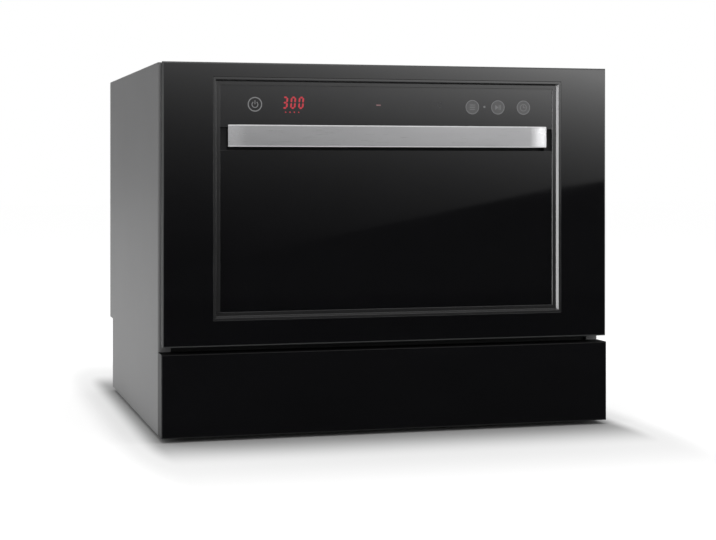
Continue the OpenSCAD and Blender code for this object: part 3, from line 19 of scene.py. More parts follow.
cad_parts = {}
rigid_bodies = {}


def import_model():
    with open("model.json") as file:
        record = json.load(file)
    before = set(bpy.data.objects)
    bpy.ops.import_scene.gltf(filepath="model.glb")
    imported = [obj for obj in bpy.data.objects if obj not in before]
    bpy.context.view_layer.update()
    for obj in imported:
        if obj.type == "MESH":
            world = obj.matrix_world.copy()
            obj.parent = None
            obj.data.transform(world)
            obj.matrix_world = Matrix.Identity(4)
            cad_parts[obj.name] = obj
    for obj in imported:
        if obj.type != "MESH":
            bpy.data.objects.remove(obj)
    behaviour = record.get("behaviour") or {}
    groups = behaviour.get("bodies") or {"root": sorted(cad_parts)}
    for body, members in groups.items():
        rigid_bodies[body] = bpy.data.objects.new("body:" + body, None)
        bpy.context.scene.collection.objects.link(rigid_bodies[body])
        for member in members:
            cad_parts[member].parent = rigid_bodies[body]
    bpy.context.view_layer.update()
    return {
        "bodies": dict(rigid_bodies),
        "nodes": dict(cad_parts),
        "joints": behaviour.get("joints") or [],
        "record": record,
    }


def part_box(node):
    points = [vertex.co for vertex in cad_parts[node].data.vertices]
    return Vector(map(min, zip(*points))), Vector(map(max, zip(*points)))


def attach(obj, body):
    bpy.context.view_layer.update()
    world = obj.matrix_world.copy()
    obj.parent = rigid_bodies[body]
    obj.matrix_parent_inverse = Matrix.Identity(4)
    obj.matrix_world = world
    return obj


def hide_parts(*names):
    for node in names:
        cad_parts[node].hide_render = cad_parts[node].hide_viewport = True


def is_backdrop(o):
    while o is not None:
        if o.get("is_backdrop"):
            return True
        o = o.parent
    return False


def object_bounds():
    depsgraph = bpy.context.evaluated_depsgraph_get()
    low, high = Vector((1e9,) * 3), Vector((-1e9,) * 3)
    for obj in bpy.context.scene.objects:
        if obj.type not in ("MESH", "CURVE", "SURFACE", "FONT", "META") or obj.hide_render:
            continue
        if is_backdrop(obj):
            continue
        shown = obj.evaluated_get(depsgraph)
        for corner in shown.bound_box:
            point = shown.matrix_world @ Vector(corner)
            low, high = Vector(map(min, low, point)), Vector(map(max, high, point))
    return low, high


LOG = logging.getLogger("dishwasher")
MM = 0.001
SAME_PLACE = 0.002 * MM
CUT_REACH = 0.0005 * MM
FLAT_ANGLE = math.radians(0.4)
NO_NORMAL = 9.0
SIGN_THICK = 0.1 * MM
FULL_TURN = 360.0
DUST_COLOUR = (0.5, 0.49, 0.47, 1.0)
WHITE = (1.0, 1.0, 1.0, 1.0)
Colour = tuple[float, float, float]
Point = tuple[float, float, float]
Bar = tuple[float, float, float, float]


# ---- shared effects --------------------------------------------------------


def new_group(name: str, inputs: Sequence[tuple[str, float]], outputs: Sequence[str]) -> tuple:
    """Makes an empty shader node group.

    Args:
        name: The group's name.
        inputs: Name and default of each number that the group takes.
        outputs: Name of each value that it puts out.

    Returns:
        The group, its input node and its output node.
    """
    group = bpy.data.node_groups.new(name, "ShaderNodeTree")
    for label, default in inputs:
        socket = group.interface.new_socket(label, in_out="INPUT", socket_type="NodeSocketFloat")
        socket.default_value = default
    for label in outputs:
        group.interface.new_socket(label, in_out="OUTPUT", socket_type="NodeSocketFloat")
    return group, group.nodes.new("NodeGroupInput"), group.nodes.new("NodeGroupOutput")


def math_node(tree: bpy.types.NodeTree, kind: str, a: object,
              b: object = 0.0) -> bpy.types.NodeSocket:
    """Adds a Math node.

    Args:
        tree: The tree that takes the node.
        kind: Its operation.
        a: First value, a number or a socket.
        b: Second value, a number or a socket.

    Returns:
        The result's socket.
    """
    node = tree.nodes.new("ShaderNodeMath")
    node.operation = kind
    for index, value in enumerate((a, b)):
        if isinstance(value, bpy.types.NodeSocket):
            tree.links.new(value, node.inputs[index])
        else:
            node.inputs[index].default_value = value
    return node.outputs[0]


def noise_node(tree: bpy.types.NodeTree, scale: object, detail: float,
               stretch: Point = (1.0, 1.0, 1.0)) -> bpy.types.NodeSocket:
    """Adds a noise on object coordinates.

    Args:
        tree: The tree that takes the nodes.
        scale: Waves per metre, as a number or a socket.
        detail: Octaves of finer noise.
        stretch: Factor on each axis, small where the grain runs long.

    Returns:
        The noise, from 0 to 1.
    """
    place = tree.nodes.new("ShaderNodeTexCoord")
    mapping = tree.nodes.new("ShaderNodeMapping")
    mapping.inputs["Scale"].default_value = stretch
    noise = tree.nodes.new("ShaderNodeTexNoise")
    noise.inputs["Detail"].default_value = detail
    tree.links.new(place.outputs["Object"], mapping.inputs["Vector"])
    tree.links.new(mapping.outputs["Vector"], noise.inputs["Vector"])
    if isinstance(scale, bpy.types.NodeSocket):
        tree.links.new(scale, noise.inputs["Scale"])
    else:
        noise.inputs["Scale"].default_value = scale
    return noise.outputs["Fac"]


class Effects:
    """The node groups that several finishes share, each built once."""

    drift_waves: float = 9.0
    line_stretch: Point = (0.012, 1.0, 1.0)
    band_stretch: Point = (1.0, 4.0, 4.0)
    dust_waves: float = 60.0
    streak_waves: float = 14.0
    streak_stretch: Point = (1.0, 1.0, 2.2)
    finger_waves: float = 260.0
    finger_stretch: Point = (1.0, 1.0, 0.3)

    def __init__(self) -> None:
        """Builds the groups and an empty store of finished materials."""
        self.made: dict[str, bpy.types.Material] = {}
        self.grain = self._grain()
        self.brushed = self._brushed()
        self.dust = self._dust()
        self.smudge = self._smudge()

    def _grain(self) -> bpy.types.NodeTree:
        """Moulded or sprayed skin: fine relief and a slow drift of tone.

        Returns:
            The group.
        """
        group, given, out = new_group("fine_grain", [("Scale", 900.0), ("Depth", 1.0)],
                                      ["Height", "Drift"])
        fine = noise_node(group, given.outputs["Scale"], detail=3.0)
        slow = noise_node(group, self.drift_waves, detail=2.0)
        group.links.new(math_node(group, "MULTIPLY", fine, given.outputs["Depth"]),
                        out.inputs["Height"])
        group.links.new(slow, out.inputs["Drift"])
        return group

    def _brushed(self) -> bpy.types.NodeTree:
        """Fine parallel lines along X, with broad faint bands.

        Returns:
            The group.
        """
        group, given, out = new_group("brushed_x", [("Scale", 700.0)],
                                      ["Height", "Lines", "Blotch"])
        lines = noise_node(group, given.outputs["Scale"], 4.0, self.line_stretch)
        blotch = noise_node(group, self.drift_waves, 2.0, self.band_stretch)
        group.links.new(lines, out.inputs["Height"])
        group.links.new(lines, out.inputs["Lines"])
        group.links.new(blotch, out.inputs["Blotch"])
        return group

    def _dust(self) -> bpy.types.NodeTree:
        """A mask of what settles on faces that look up.

        Returns:
            The group.
        """
        group, given, out = new_group("settled_dust", [("Amount", 0.1)], ["Mask"])
        geometry = group.nodes.new("ShaderNodeNewGeometry")
        split = group.nodes.new("ShaderNodeSeparateXYZ")
        group.links.new(geometry.outputs["Normal"], split.inputs[0])
        up = math_node(group, "MAXIMUM", split.outputs["Z"])
        patch = noise_node(group, self.dust_waves, detail=5.0)
        mask = math_node(group, "MULTIPLY", math_node(group, "MULTIPLY", up, patch),
                         given.outputs["Amount"])
        group.links.new(mask, out.inputs["Mask"])
        return group

    def _smudge(self) -> bpy.types.NodeTree:
        """Faint wiped streaks and finger marks on polished faces.

        Returns:
            The group.
        """
        group, given, out = new_group("wiped_smudge", [("Amount", 0.02)], ["Mask"])
        wide = noise_node(group, self.streak_waves, 4.0, self.streak_stretch)
        fine = noise_node(group, self.finger_waves, 2.0, self.finger_stretch)
        both = math_node(group, "MULTIPLY", wide, fine)
        group.links.new(math_node(group, "MULTIPLY", both, given.outputs["Amount"]),
                        out.inputs["Mask"])
        return group


class Skin(Enum):
    """Which shared relief a finish has."""

    GRAIN = "grain"
    BRUSHED = "brushed"
    POLISHED = "polished"


@dataclass(frozen=True)
class Finish:
    """One finish and the nodes that draw it."""

    name: str
    colour: Colour
    second: Colour
    rough: float
    rough_span: float = 0.08
    metallic: float = 0.0
    skin: Skin = Skin.GRAIN
    scale: float = 900.0
    relief: float = 0.00002
    dust: float = 0.0
    coat: float = 0.0
    coat_rough: float = 0.08
    specular: float = 0.5
    glow: float = 0.0
    anisotropic: float = 0.0

    def material(self, effects: Effects) -> bpy.types.Material:
        """Builds the finish as a material.

        Args:
            effects: The shared node groups.

        Returns:
            The material, which is built once.
        """
        if self.name in effects.made:
            return effects.made[self.name]
        material = bpy.data.materials.new(f"{self.name}_finish")
        effects.made[self.name] = material
        material.use_nodes = True
        tree = material.node_tree
        shader = tree.nodes["Principled BSDF"]
        for socket, value in (("Metallic", self.metallic), ("Coat Weight", self.coat),
                              ("Coat Roughness", self.coat_rough),
                              ("Specular IOR Level", self.specular),
                              ("Anisotropic", self.anisotropic)):
            shader.inputs[socket].default_value = value
        height, tone, band = self._skin(tree, effects)
        mix = tree.nodes.new("ShaderNodeMix")
        mix.data_type = "RGBA"
        mix.inputs["A"].default_value = (*self.colour, 1.0)
        mix.inputs["B"].default_value = (*self.second, 1.0)
        tree.links.new(band, mix.inputs["Factor"])
        colour = mix.outputs["Result"]
        if self.dust > 0.0:
            colour = self._dusted(tree, effects, colour)
        tree.links.new(colour, shader.inputs["Base Color"])
        rough = math_node(tree, "MULTIPLY_ADD", tone, self.rough_span)
        rough.node.inputs[2].default_value = self.rough
        tree.links.new(rough, shader.inputs["Roughness"])
        if self.relief > 0.0:
            bump = tree.nodes.new("ShaderNodeBump")
            bump.inputs["Distance"].default_value = self.relief
            bump.inputs["Strength"].default_value = 1.0
            tree.links.new(height, bump.inputs["Height"])
            tree.links.new(bump.outputs["Normal"], shader.inputs["Normal"])
        if self.glow > 0.0:
            tree.links.new(colour, shader.inputs["Emission Color"])
            shader.inputs["Emission Strength"].default_value = self.glow
        material.diffuse_color = (*self.colour, 1.0)
        return material

    def _skin(self, tree: bpy.types.NodeTree, effects: Effects) -> tuple:
        """Places the finish's relief group.

        Args:
            tree: The material's tree.
            effects: The shared node groups.

        Returns:
            Sockets of the relief's height, of the roughness's tone and of the colour's band.
        """
        node = tree.nodes.new("ShaderNodeGroup")
        if self.skin is Skin.GRAIN:
            node.node_tree = effects.grain
            node.inputs["Scale"].default_value = self.scale
            return node.outputs["Height"], node.outputs["Height"], node.outputs["Drift"]
        if self.skin is Skin.POLISHED:
            node.node_tree = effects.smudge
            node.inputs["Amount"].default_value = 1.0
            return (node.outputs["Mask"],) * 3
        node.node_tree = effects.brushed
        node.inputs["Scale"].default_value = self.scale
        return node.outputs["Height"], node.outputs["Lines"], node.outputs["Blotch"]

    def _dusted(self, tree: bpy.types.NodeTree, effects: Effects,
                colour: bpy.types.NodeSocket) -> bpy.types.NodeSocket:
        """Lays the dust mask over a colour.

        Args:
            tree: The material's tree.
            effects: The shared node groups.
            colour: The clean colour.

        Returns:
            The dusted colour's socket.
        """
        node = tree.nodes.new("ShaderNodeGroup")
        node.node_tree = effects.dust
        node.inputs["Amount"].default_value = self.dust
        mix = tree.nodes.new("ShaderNodeMix")
        mix.data_type = "RGBA"
        mix.inputs["B"].default_value = DUST_COLOUR
        tree.links.new(colour, mix.inputs["A"])
        tree.links.new(node.outputs["Mask"], mix.inputs["Factor"])
        return mix.outputs["Result"]


SILVER_PAINT = Finish("silver_paint", (0.172, 0.172, 0.174), (0.192, 0.192, 0.194), 0.46, 0.10,
                      metallic=0.25, scale=1400.0, relief=0.000012, dust=0.06, specular=0.25)
PANEL_STEEL = Finish("panel_steel", (0.34, 0.345, 0.35), (0.4, 0.405, 0.41), 0.34, 0.12,
                     metallic=0.6, scale=1100.0, relief=0.000015, dust=0.1)
BLACK_GLASS = Finish("black_glass", (0.003, 0.003, 0.0035), (0.006, 0.006, 0.007), 0.03, 0.04,
                     skin=Skin.POLISHED, relief=0.0, specular=1.0)
SMOKED_GLASS = Finish("smoked_glass", (0.012, 0.012, 0.013), (0.02, 0.02, 0.021), 0.035, 0.05,
                      skin=Skin.POLISHED, relief=0.0, specular=1.0)
GROUND_EDGE = Finish("ground_edge", (0.05, 0.052, 0.052), (0.07, 0.072, 0.072), 0.3, 0.1,
                     relief=0.00001, specular=0.3)
GLOSS_BLACK = Finish("gloss_black", (0.004, 0.004, 0.0045), (0.007, 0.007, 0.008), 0.07, 0.05,
                     skin=Skin.POLISHED, relief=0.0, specular=0.7)
BRUSHED_ALUMINIUM = Finish("brushed_aluminium", (0.6, 0.6, 0.61), (0.48, 0.48, 0.49), 0.22, 0.16,
                           metallic=1.0, skin=Skin.BRUSHED, scale=1500.0, relief=0.00001,
                           anisotropic=0.4)
# Painted highlight: a pale satin copy of the door trim's metal, laid on its right inner wall only.
TRIM_PAINTED_HIGHLIGHT = Finish("bright_trim", (0.93, 0.93, 0.94), (0.88, 0.88, 0.89), 0.5, 0.08,
                     skin=Skin.POLISHED, relief=0.0)
# Painted shade: a dark polished copy of the door trim's metal, on every other trim face and
# rounding.
TRIM_PAINTED_SHADE = Finish("trim_painted_shade", (0.02, 0.02, 0.0205), (0.027, 0.027, 0.028), 0.12, 0.06,
                   skin=Skin.POLISHED, relief=0.0, specular=1.0)
# Painted shade: the kick plate's black without sheen, laid on its upward faces so that they catch
# no light.
KICK_TOP_SHADE = Finish("kick_top_shade", (0.004, 0.004, 0.0042), (0.006, 0.006, 0.0062), 0.8, 0.1,
                    relief=0.00002, specular=0.05)
# Painted highlight: a pale satin copy of the handle bar's aluminium, laid on its slanting faces and
# roundings.
BAR_EDGE_HIGHLIGHT = Finish("bar_edge_highlight", (0.9, 0.9, 0.91), (0.82, 0.82, 0.83), 0.5, 0.1,
                     metallic=0.1, skin=Skin.BRUSHED, scale=1500.0, relief=0.00001)
STAINLESS_X = Finish("stainless_x", (0.6, 0.6, 0.59), (0.52, 0.52, 0.515), 0.22, 0.16,
                     metallic=1.0, skin=Skin.BRUSHED, relief=0.000008)
ZINC_STEEL = Finish("zinc_steel", (0.5, 0.51, 0.52), (0.4, 0.41, 0.43), 0.36, 0.15,
                    metallic=0.9, scale=240.0, relief=0.00001, dust=0.1)
BLACK_PLASTIC = Finish("black_plastic", (0.012, 0.012, 0.013), (0.018, 0.018, 0.019), 0.46, 0.12,
                       scale=1600.0, relief=0.00003, dust=0.05, specular=0.25)
GREY_PLASTIC = Finish("grey_plastic", (0.09, 0.092, 0.096), (0.13, 0.132, 0.136), 0.45, 0.12,
                      scale=1500.0, relief=0.00003, dust=0.08)
LIGHT_PLASTIC = Finish("light_plastic", (0.62, 0.63, 0.64), (0.7, 0.71, 0.72), 0.34, 0.12,
                       scale=1300.0, relief=0.00002, dust=0.05)
BLUE_PLASTIC = Finish("blue_plastic", (0.05, 0.13, 0.3), (0.07, 0.17, 0.36), 0.36, 0.1,
                      scale=1300.0, relief=0.00002)
ORANGE_FOAM = Finish("orange_foam", (0.7, 0.22, 0.04), (0.8, 0.3, 0.07), 0.7, 0.2,
                     scale=700.0, relief=0.0001)
SOFT_RUBBER = Finish("soft_rubber", (0.018, 0.018, 0.019), (0.03, 0.03, 0.031), 0.62, 0.15,
                     scale=1200.0, relief=0.00003, dust=0.08)
DENSE_FELT = Finish("dense_felt", (0.03, 0.03, 0.032), (0.055, 0.053, 0.05), 0.9, 0.08,
                    scale=1100.0, relief=0.0003)
COATED_WIRE = Finish("coated_wire", (0.6, 0.62, 0.65), (0.68, 0.7, 0.72), 0.22, 0.1,
                     scale=500.0, relief=0.00003, coat=0.3)
CIRCUIT_BOARD = Finish("circuit_board", (0.012, 0.09, 0.03), (0.02, 0.14, 0.05), 0.3, 0.12,
                       scale=300.0, relief=0.00003)
DISPLAY_FILTER = Finish("display_filter", (0.02, 0.002, 0.002), (0.04, 0.004, 0.004), 0.12, 0.05,
                        skin=Skin.POLISHED, relief=0.0)
STAMPED_BRASS = Finish("stamped_brass", (0.6, 0.42, 0.16), (0.5, 0.34, 0.12), 0.28, 0.15,
                       metallic=1.0, scale=500.0, relief=0.00001)
RED_SEGMENT = Finish("red_segment", (0.56, 0.03, 0.05), (0.62, 0.038, 0.058), 0.4, 0.05,
                     relief=0.0, glow=0.12)
PILOT_RED = Finish("pilot_red", (0.2, 0.11, 0.115), (0.24, 0.13, 0.135), 0.4, 0.05,
                   relief=0.0, glow=0.2)
PRINT_GREY = Finish("print_grey", (0.2, 0.2, 0.205), (0.26, 0.26, 0.265), 0.4, 0.1, relief=0.0)
PRINT_FAINT = Finish("print_faint", (0.05, 0.05, 0.052), (0.07, 0.07, 0.072), 0.4, 0.1, relief=0.0)
TOUCH_DISC = Finish("touch_disc", (0.1, 0.1, 0.102), (0.13, 0.13, 0.132), 0.3, 0.1, relief=0.0)


# ---- shared making ---------------------------------------------------------


def new_object(name: str, data: bpy.types.ID) -> bpy.types.Object:
    """Makes an object and links it to the scene.

    Args:
        name: The object's name.
        data: Its mesh, lamp or camera.

    Returns:
        The object.
    """
    made = bpy.data.objects.new(name, data)
    bpy.context.scene.collection.objects.link(made)
    return made


class Workshop:
    """Makes pieces, gives them finishes and sets them on their bodies."""

    edge_angle: float = math.radians(38.0)

    def __init__(self, frame: dict) -> None:
        """Keeps the loaded frame and builds the shared effects.
        """
        self.nodes: dict[str, bpy.types.Object] = frame["nodes"]
        self.body_of: dict[str, str] = {}
        for body, members in frame["record"]["behaviour"]["bodies"].items():
            for node in members:
                self.body_of[node] = body
        self.slot_of = {p["node"]: p["material_slot"] for p in frame["record"]["subparts"]}
        self.effects = Effects()

    def paint(self, finish: Finish, *nodes: str) -> None:
        """Gives carried-over nodes one finish.

        Args:
            finish: The finish.
            nodes: Names of the nodes.
        """
        for node in nodes:
            self.nodes[node].data.materials.clear()
            self._coat(self.nodes[node].data, finish)

    def _coat(self, mesh: bpy.types.Mesh, finish: Finish | Sequence[Finish]) -> None:
        """Gives a mesh one finish, or one per material index."""
        for one in (finish if isinstance(finish, (list, tuple)) else [finish]):
            mesh.materials.append(one.material(self.effects))

    def add(self, name: str, bm: bmesh.types.BMesh, finish: Finish | Sequence[Finish], body: str,
            slot: str, smooth: float = 35.0) -> bpy.types.Object:
        """Turns a bmesh into a piece that rides on a body.

        Args:
            name: The piece's name.
            bm: Its mesh, in metres in the row's frame, which is freed.
            finish: One finish, or one per material index.
            body: The body that it rides on.
            slot: The record's material slot, which is not used.
            smooth: Angle in degrees above which an edge stays sharp.

        Returns:
            The new object.
        """
        mesh = bpy.data.meshes.new(name)
        bm.normal_update()
        bm.to_mesh(mesh)
        bm.free()
        piece = new_object(name, mesh)
        self._coat(mesh, finish)
        mesh.shade_smooth()
        mesh.set_sharp_from_angle(angle=math.radians(smooth))
        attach(piece, body)
        LOG.info("piece %s on %s, %d faces", name, body, len(mesh.polygons))
        return piece

    def rounded(self, node: str, finish: Finish | Sequence[Finish], width: float,
                segments: int = 2, pick: Callable[[bmesh.types.BMFace], int] | None = None,
                edge_index: int = -1,
                reshape: Callable[[bmesh.types.BMesh], None] | None = None) -> bpy.types.Object:
        """Replaces a node by a copy with its sharp edges rounded.

        Args:
            node: The node that is replaced.
            finish: One finish, or one per material index.
            width: The rounding's width in metres.
            segments: Faces across each rounding.
            pick: Gives a face its material index.
            edge_index: The roundings' material index, or -1 for their neighbours'.
            reshape: Changes the mesh before its edges are rounded.

        Returns:
            The new object.
        """
        bm = bmesh.new()
        bm.from_mesh(self.nodes[node].data)
        bmesh.ops.remove_doubles(bm, verts=bm.verts, dist=SAME_PLACE)
        merge_flat(bm)
        if reshape:
            reshape(bm)
            bm.normal_update()
        for face in bm.faces:
            face.material_index = pick(face) if pick else 0
        raw = bpy.data.meshes.new(f"{node}_raw")
        bm.to_mesh(raw)
        bm.free()
        self._coat(raw, finish)
        if "custom_normal" in raw.attributes:
            raw.attributes.remove(raw.attributes["custom_normal"])
        source = new_object(f"{node}_raw", raw)
        bevel = source.modifiers.new("rounding", "BEVEL")
        bevel.width = width
        bevel.segments = segments
        bevel.limit_method = "ANGLE"
        bevel.angle_limit = self.edge_angle
        bevel.use_clamp_overlap = True
        bevel.material = edge_index
        bevel.miter_outer = "MITER_ARC"
        weighted = source.modifiers.new("weights", "WEIGHTED_NORMAL")
        weighted.keep_sharp = True
        raw.shade_smooth()
        graph = bpy.context.evaluated_depsgraph_get()
        mesh = bpy.data.meshes.new_from_object(source.evaluated_get(graph))
        bpy.data.objects.remove(source)
        bpy.data.meshes.remove(raw)
        piece = new_object(f"{node}_skin", mesh)
        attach(piece, self.body_of[node])
        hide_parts(node)
        LOG.info("rounded %s, %d faces", node, len(mesh.polygons))
        return piece


def flat_groups(bm: bmesh.types.BMesh) -> list[list[bmesh.types.BMFace]]:
    """Sorts a mesh's faces into flat areas, each joined edge to edge.

    Args:
        bm: The mesh.

    Returns:
        The faces of each flat area.
    """
    seen: set[int] = set()
    groups = []
    for first in bm.faces:
        if first.index in seen:
            continue
        seen.add(first.index)
        group, queue = [], [first]
        while queue:
            face = queue.pop()
            group.append(face)
            for edge in face.edges:
                for other in edge.link_faces:
                    if other.index in seen:
                        continue
                    if first.normal.angle(other.normal, NO_NORMAL) < FLAT_ANGLE:
                        seen.add(other.index)
                        queue.append(other)
        groups.append(group)
    return groups


def hole_centres(group: Sequence[bmesh.types.BMFace]) -> list[Vector]:
    """Finds the holes in a flat area.

    Args:
        group: The area's faces.

    Returns:
        The middle of each hole.
    """
    inside = set(group)
    rim = {e for f in group for e in f.edges if sum(1 for o in e.link_faces if o in inside) == 1}
    loops = []
    while rim:
        queue, corners = [rim.pop()], []
        while queue:
            edge = queue.pop()
            for vert in edge.verts:
                corners.append(vert.co)
                joined = [e for e in vert.link_edges if e in rim]
                rim.difference_update(joined)
                queue.extend(joined)
        low = Vector(min(c[k] for c in corners) for k in range(3))
        high = Vector(max(c[k] for c in corners) for k in range(3))
        loops.append(((high - low).length, (low + high) / 2.0))
    loops.sort(key=lambda loop: -loop[0])
    return [centre for _, centre in loops[1:]]


def merge_flat(bm: bmesh.types.BMesh) -> None:
    """Merges flat areas into few faces, cutting through holes so that no face has one.

    Args:
        bm: The mesh.
    """
    bm.normal_update()
    bm.faces.index_update()
    kept: set[bmesh.types.BMEdge] = set()
    for group in flat_groups(bm):
        normal = group[0].normal
        across = Vector((1.0, 0.0, 0.0)) if abs(normal.x) < 0.7 else Vector((0.0, 1.0, 0.0))
        faces = group
        for centre in hole_centres(group) if len(group) > 1 else []:
            geometry = list({g for f in faces for g in (f, *f.edges, *f.verts)})
            cut = bmesh.ops.bisect_plane(bm, geom=geometry, plane_co=centre, plane_no=across,
                                         dist=CUT_REACH)
            faces = [g for g in cut["geom"] if isinstance(g, bmesh.types.BMFace)]
            kept.update(g for g in cut["geom_cut"] if isinstance(g, bmesh.types.BMEdge))
    edges = [e for e in bm.edges if e not in kept]
    bmesh.ops.dissolve_limit(bm, angle_limit=FLAT_ANGLE, verts=bm.verts, edges=edges,
                             delimit=set())


def add_disc(bm: bmesh.types.BMesh, centre: Point, outer: float, inner: float = 0.0,
             steps: int = 40, start: float = 0.0, sweep: float = FULL_TURN) -> None:
    """Adds a thin disc, ring or arc that faces -Y.

    Args:
        bm: The mesh that takes it.
        centre: Its middle, on its back face.
        outer: Outer radius.
        inner: Inner radius, 0 for a disc.
        steps: Straight runs round a full turn.
        start: Angle of the arc's start in degrees, from +X towards +Z.
        sweep: Angle that the arc covers.
    """
    full = sweep >= FULL_TURN
    count = max(3, round(steps * sweep / FULL_TURN))
    angles = [math.radians(start + sweep * i / count) for i in range(count + (0 if full else 1))]

    def ring(radius: float, y: float) -> list:
        """One row of corners at a radius and a depth."""
        return [bm.verts.new((centre[0] + radius * math.cos(a), y,
                              centre[2] + radius * math.sin(a))) for a in angles]

    front, back = centre[1] - SIGN_THICK, centre[1]
    outer_front, outer_back = ring(outer, front), ring(outer, back)
    pairs = list(zip(range(len(angles)), list(range(1, len(angles))) + ([0] if full else [])))
    if inner <= 0.0:
        bm.faces.new(outer_front)
        bm.faces.new(outer_back[::-1])
        for i, j in pairs:
            bm.faces.new((outer_front[i], outer_back[i], outer_back[j], outer_front[j]))
        return
    inner_front, inner_back = ring(inner, front), ring(inner, back)
    for i, j in pairs:
        bm.faces.new((outer_front[i], outer_front[j], inner_front[j], inner_front[i]))
        bm.faces.new((outer_back[j], outer_back[i], inner_back[i], inner_back[j]))
        bm.faces.new((outer_front[i], outer_back[i], outer_back[j], outer_front[j]))
        bm.faces.new((inner_front[j], inner_back[j], inner_back[i], inner_front[i]))
    if not full:
        for i in (0, len(angles) - 1):
            bm.faces.new((outer_front[i], inner_front[i], inner_back[i], outer_back[i]))


def add_slab(bm: bmesh.types.BMesh, front: Sequence[Point], back: Sequence[Point]) -> None:
    """Adds a closed slab between two outlines with the same number of corners.

    Args:
        bm: The mesh that takes it.
        front: Corners of the front face.
        back: Corners of the back face, in the same order.
    """
    front_verts = [bm.verts.new(corner) for corner in front]
    back_verts = [bm.verts.new(corner) for corner in back]
    bm.faces.new(front_verts)
    bm.faces.new(back_verts[::-1])
    for i in range(len(front_verts)):
        j = (i + 1) % len(front_verts)
        bm.faces.new((front_verts[j], front_verts[i], back_verts[i], back_verts[j]))


def add_plate(bm: bmesh.types.BMesh, outline: Sequence[tuple[float, float]], y: float) -> None:
    """Adds a thin plate with an outline in X and Z, facing -Y."""
    add_slab(bm, [(x, y - SIGN_THICK, z) for x, z in outline], [(x, y, z) for x, z in outline])


def add_bars(bm: bmesh.types.BMesh, centre: Point, bars: Sequence[Bar]) -> None:
    """Adds upright or level bars of a printed sign, facing -Y.

    Args:
        bm: The mesh that takes them.
        centre: The sign's middle.
        bars: Each bar's middle from the centre in X and Z, half its width and half its height.
    """
    x, y, z = centre
    for right, up, wide, tall in bars:
        add_plate(bm, [(x + right - wide, z + up - tall), (x + right + wide, z + up - tall),
                       (x + right + wide, z + up + tall), (x + right - wide, z + up + tall)], y)


def in_mm(*rows: Sequence[float]) -> tuple[tuple[float, ...], ...]:
    """Gives rows of millimetres in metres."""
    return tuple(tuple(value * MM for value in row) for row in rows)


def add_tube(bm: bmesh.types.BMesh, path: Sequence[Vector], radius: float, sides: int = 14,
             closed: bool = False) -> None:
    """Sweeps a round wire along a path.

    Args:
        bm: The mesh that takes it.
        path: The wire's middle line.
        radius: The wire's radius.
        sides: Corners round the wire.
        closed: True for a loop.
    """
    count = len(path)
    normal = None
    rings = []
    for i, point in enumerate(path):
        before = path[(i - 1) % count] if closed or i else point
        after = path[(i + 1) % count] if closed or i < count - 1 else point
        along = (after - before).normalized()
        if normal is None:
            normal = along.orthogonal().normalized()
        normal = (normal - along * normal.dot(along)).normalized()
        side = along.cross(normal)
        rings.append([bm.verts.new(point + radius * (math.cos(a) * normal + math.sin(a) * side))
                      for a in (2 * math.pi * k / sides for k in range(sides))])
    for i in range(count if closed else count - 1):
        a, b = rings[i], rings[(i + 1) % count]
        shift = 0
        if closed and i == count - 1:
            shift = min(range(sides), key=lambda k: (b[k].co - a[0].co).length)
        for k in range(sides):
            n = (k + 1) % sides
            bm.faces.new((a[k], a[n], b[(n + shift) % sides], b[(k + shift) % sides]))
    if not closed:
        bm.faces.new(rings[0][::-1])
        bm.faces.new(rings[-1])


def rounded_path(corners: Sequence[Point], bend: float, steps: int = 6,
                 closed: bool = False) -> list[Vector]:
    """Rounds a polyline's corners with arcs.

    Args:
        corners: The polyline's corners.
        bend: Length that each bend takes off its two runs.
        steps: Straight runs in each bend.
        closed: True for a loop.

    Returns:
        The path's points.
    """
    points = [Vector(c) for c in corners]
    path: list[Vector] = []
    count = len(points)
    for i, point in enumerate(points):
        if not closed and i in (0, count - 1):
            path.append(point)
            continue
        before, after = points[(i - 1) % count], points[(i + 1) % count]
        reach = min(bend, 0.45 * (before - point).length, 0.45 * (after - point).length)
        a = point + (before - point).normalized() * reach
        b = point + (after - point).normalized() * reach
        for k in range(steps + 1):
            t = k / steps
            path.append(a.lerp(point, t).lerp(point.lerp(b, t), t))
    return path


# ---- sub-assemblies --------------------------------------------------------


@dataclass
class Cabinet:
    """Painted panels, kick plate and feet."""

    panel_edge: float = 0.4 * MM
    rear_edge: float = 0.32 * MM
    kick_edge: float = 0.24 * MM
    moulded_edge: float = 0.6 * MM

    def build(self, shop: Workshop) -> None:
        """Replaces the outer shells by ones with soft edges.

        Args:
            shop: Makes the pieces and knows their bodies.
        """
        for node in ("left_side_panel", "right_side_panel", "top_panel"):
            shop.rounded(node, SILVER_PAINT, self.panel_edge)
        for node in ("rear_panel", "lower_rear_panel"):
            shop.rounded(node, PANEL_STEEL, self.rear_edge)

        def kick_index(face: bmesh.types.BMFace) -> int:
            """Picks gloss for the kick plate's front and, for what looks up, a copy without sheen,
            painted shade that keeps its top edges from catching light.
            """
            return 2 if face.normal.z > 0.1 else 0 if face.normal.y < -0.8 else 1

        # The kick plate's upward faces take painted shade, a copy of its black without sheen.
        shop.rounded("kick_plate", (GLOSS_BLACK, BLACK_PLASTIC, KICK_TOP_SHADE), self.kick_edge,
                     pick=kick_index)
        shop.rounded("feet", SOFT_RUBBER, self.moulded_edge)
        shop.rounded("base_tray", GREY_PLASTIC, self.moulded_edge)

    def dress(self, shop: Workshop) -> None:
        """Finishes the nodes that keep their own shape.

        Args:
            shop: Gives the nodes their finishes.
        """
        shop.paint(ZINC_STEEL, "hinge_brackets", "panel_screws")
        shop.paint(BLACK_PLASTIC, "front_frame", "cord_gland", "drain_outlet", "latch_housing")
        shop.paint(LIGHT_PLASTIC, "inlet_valve")


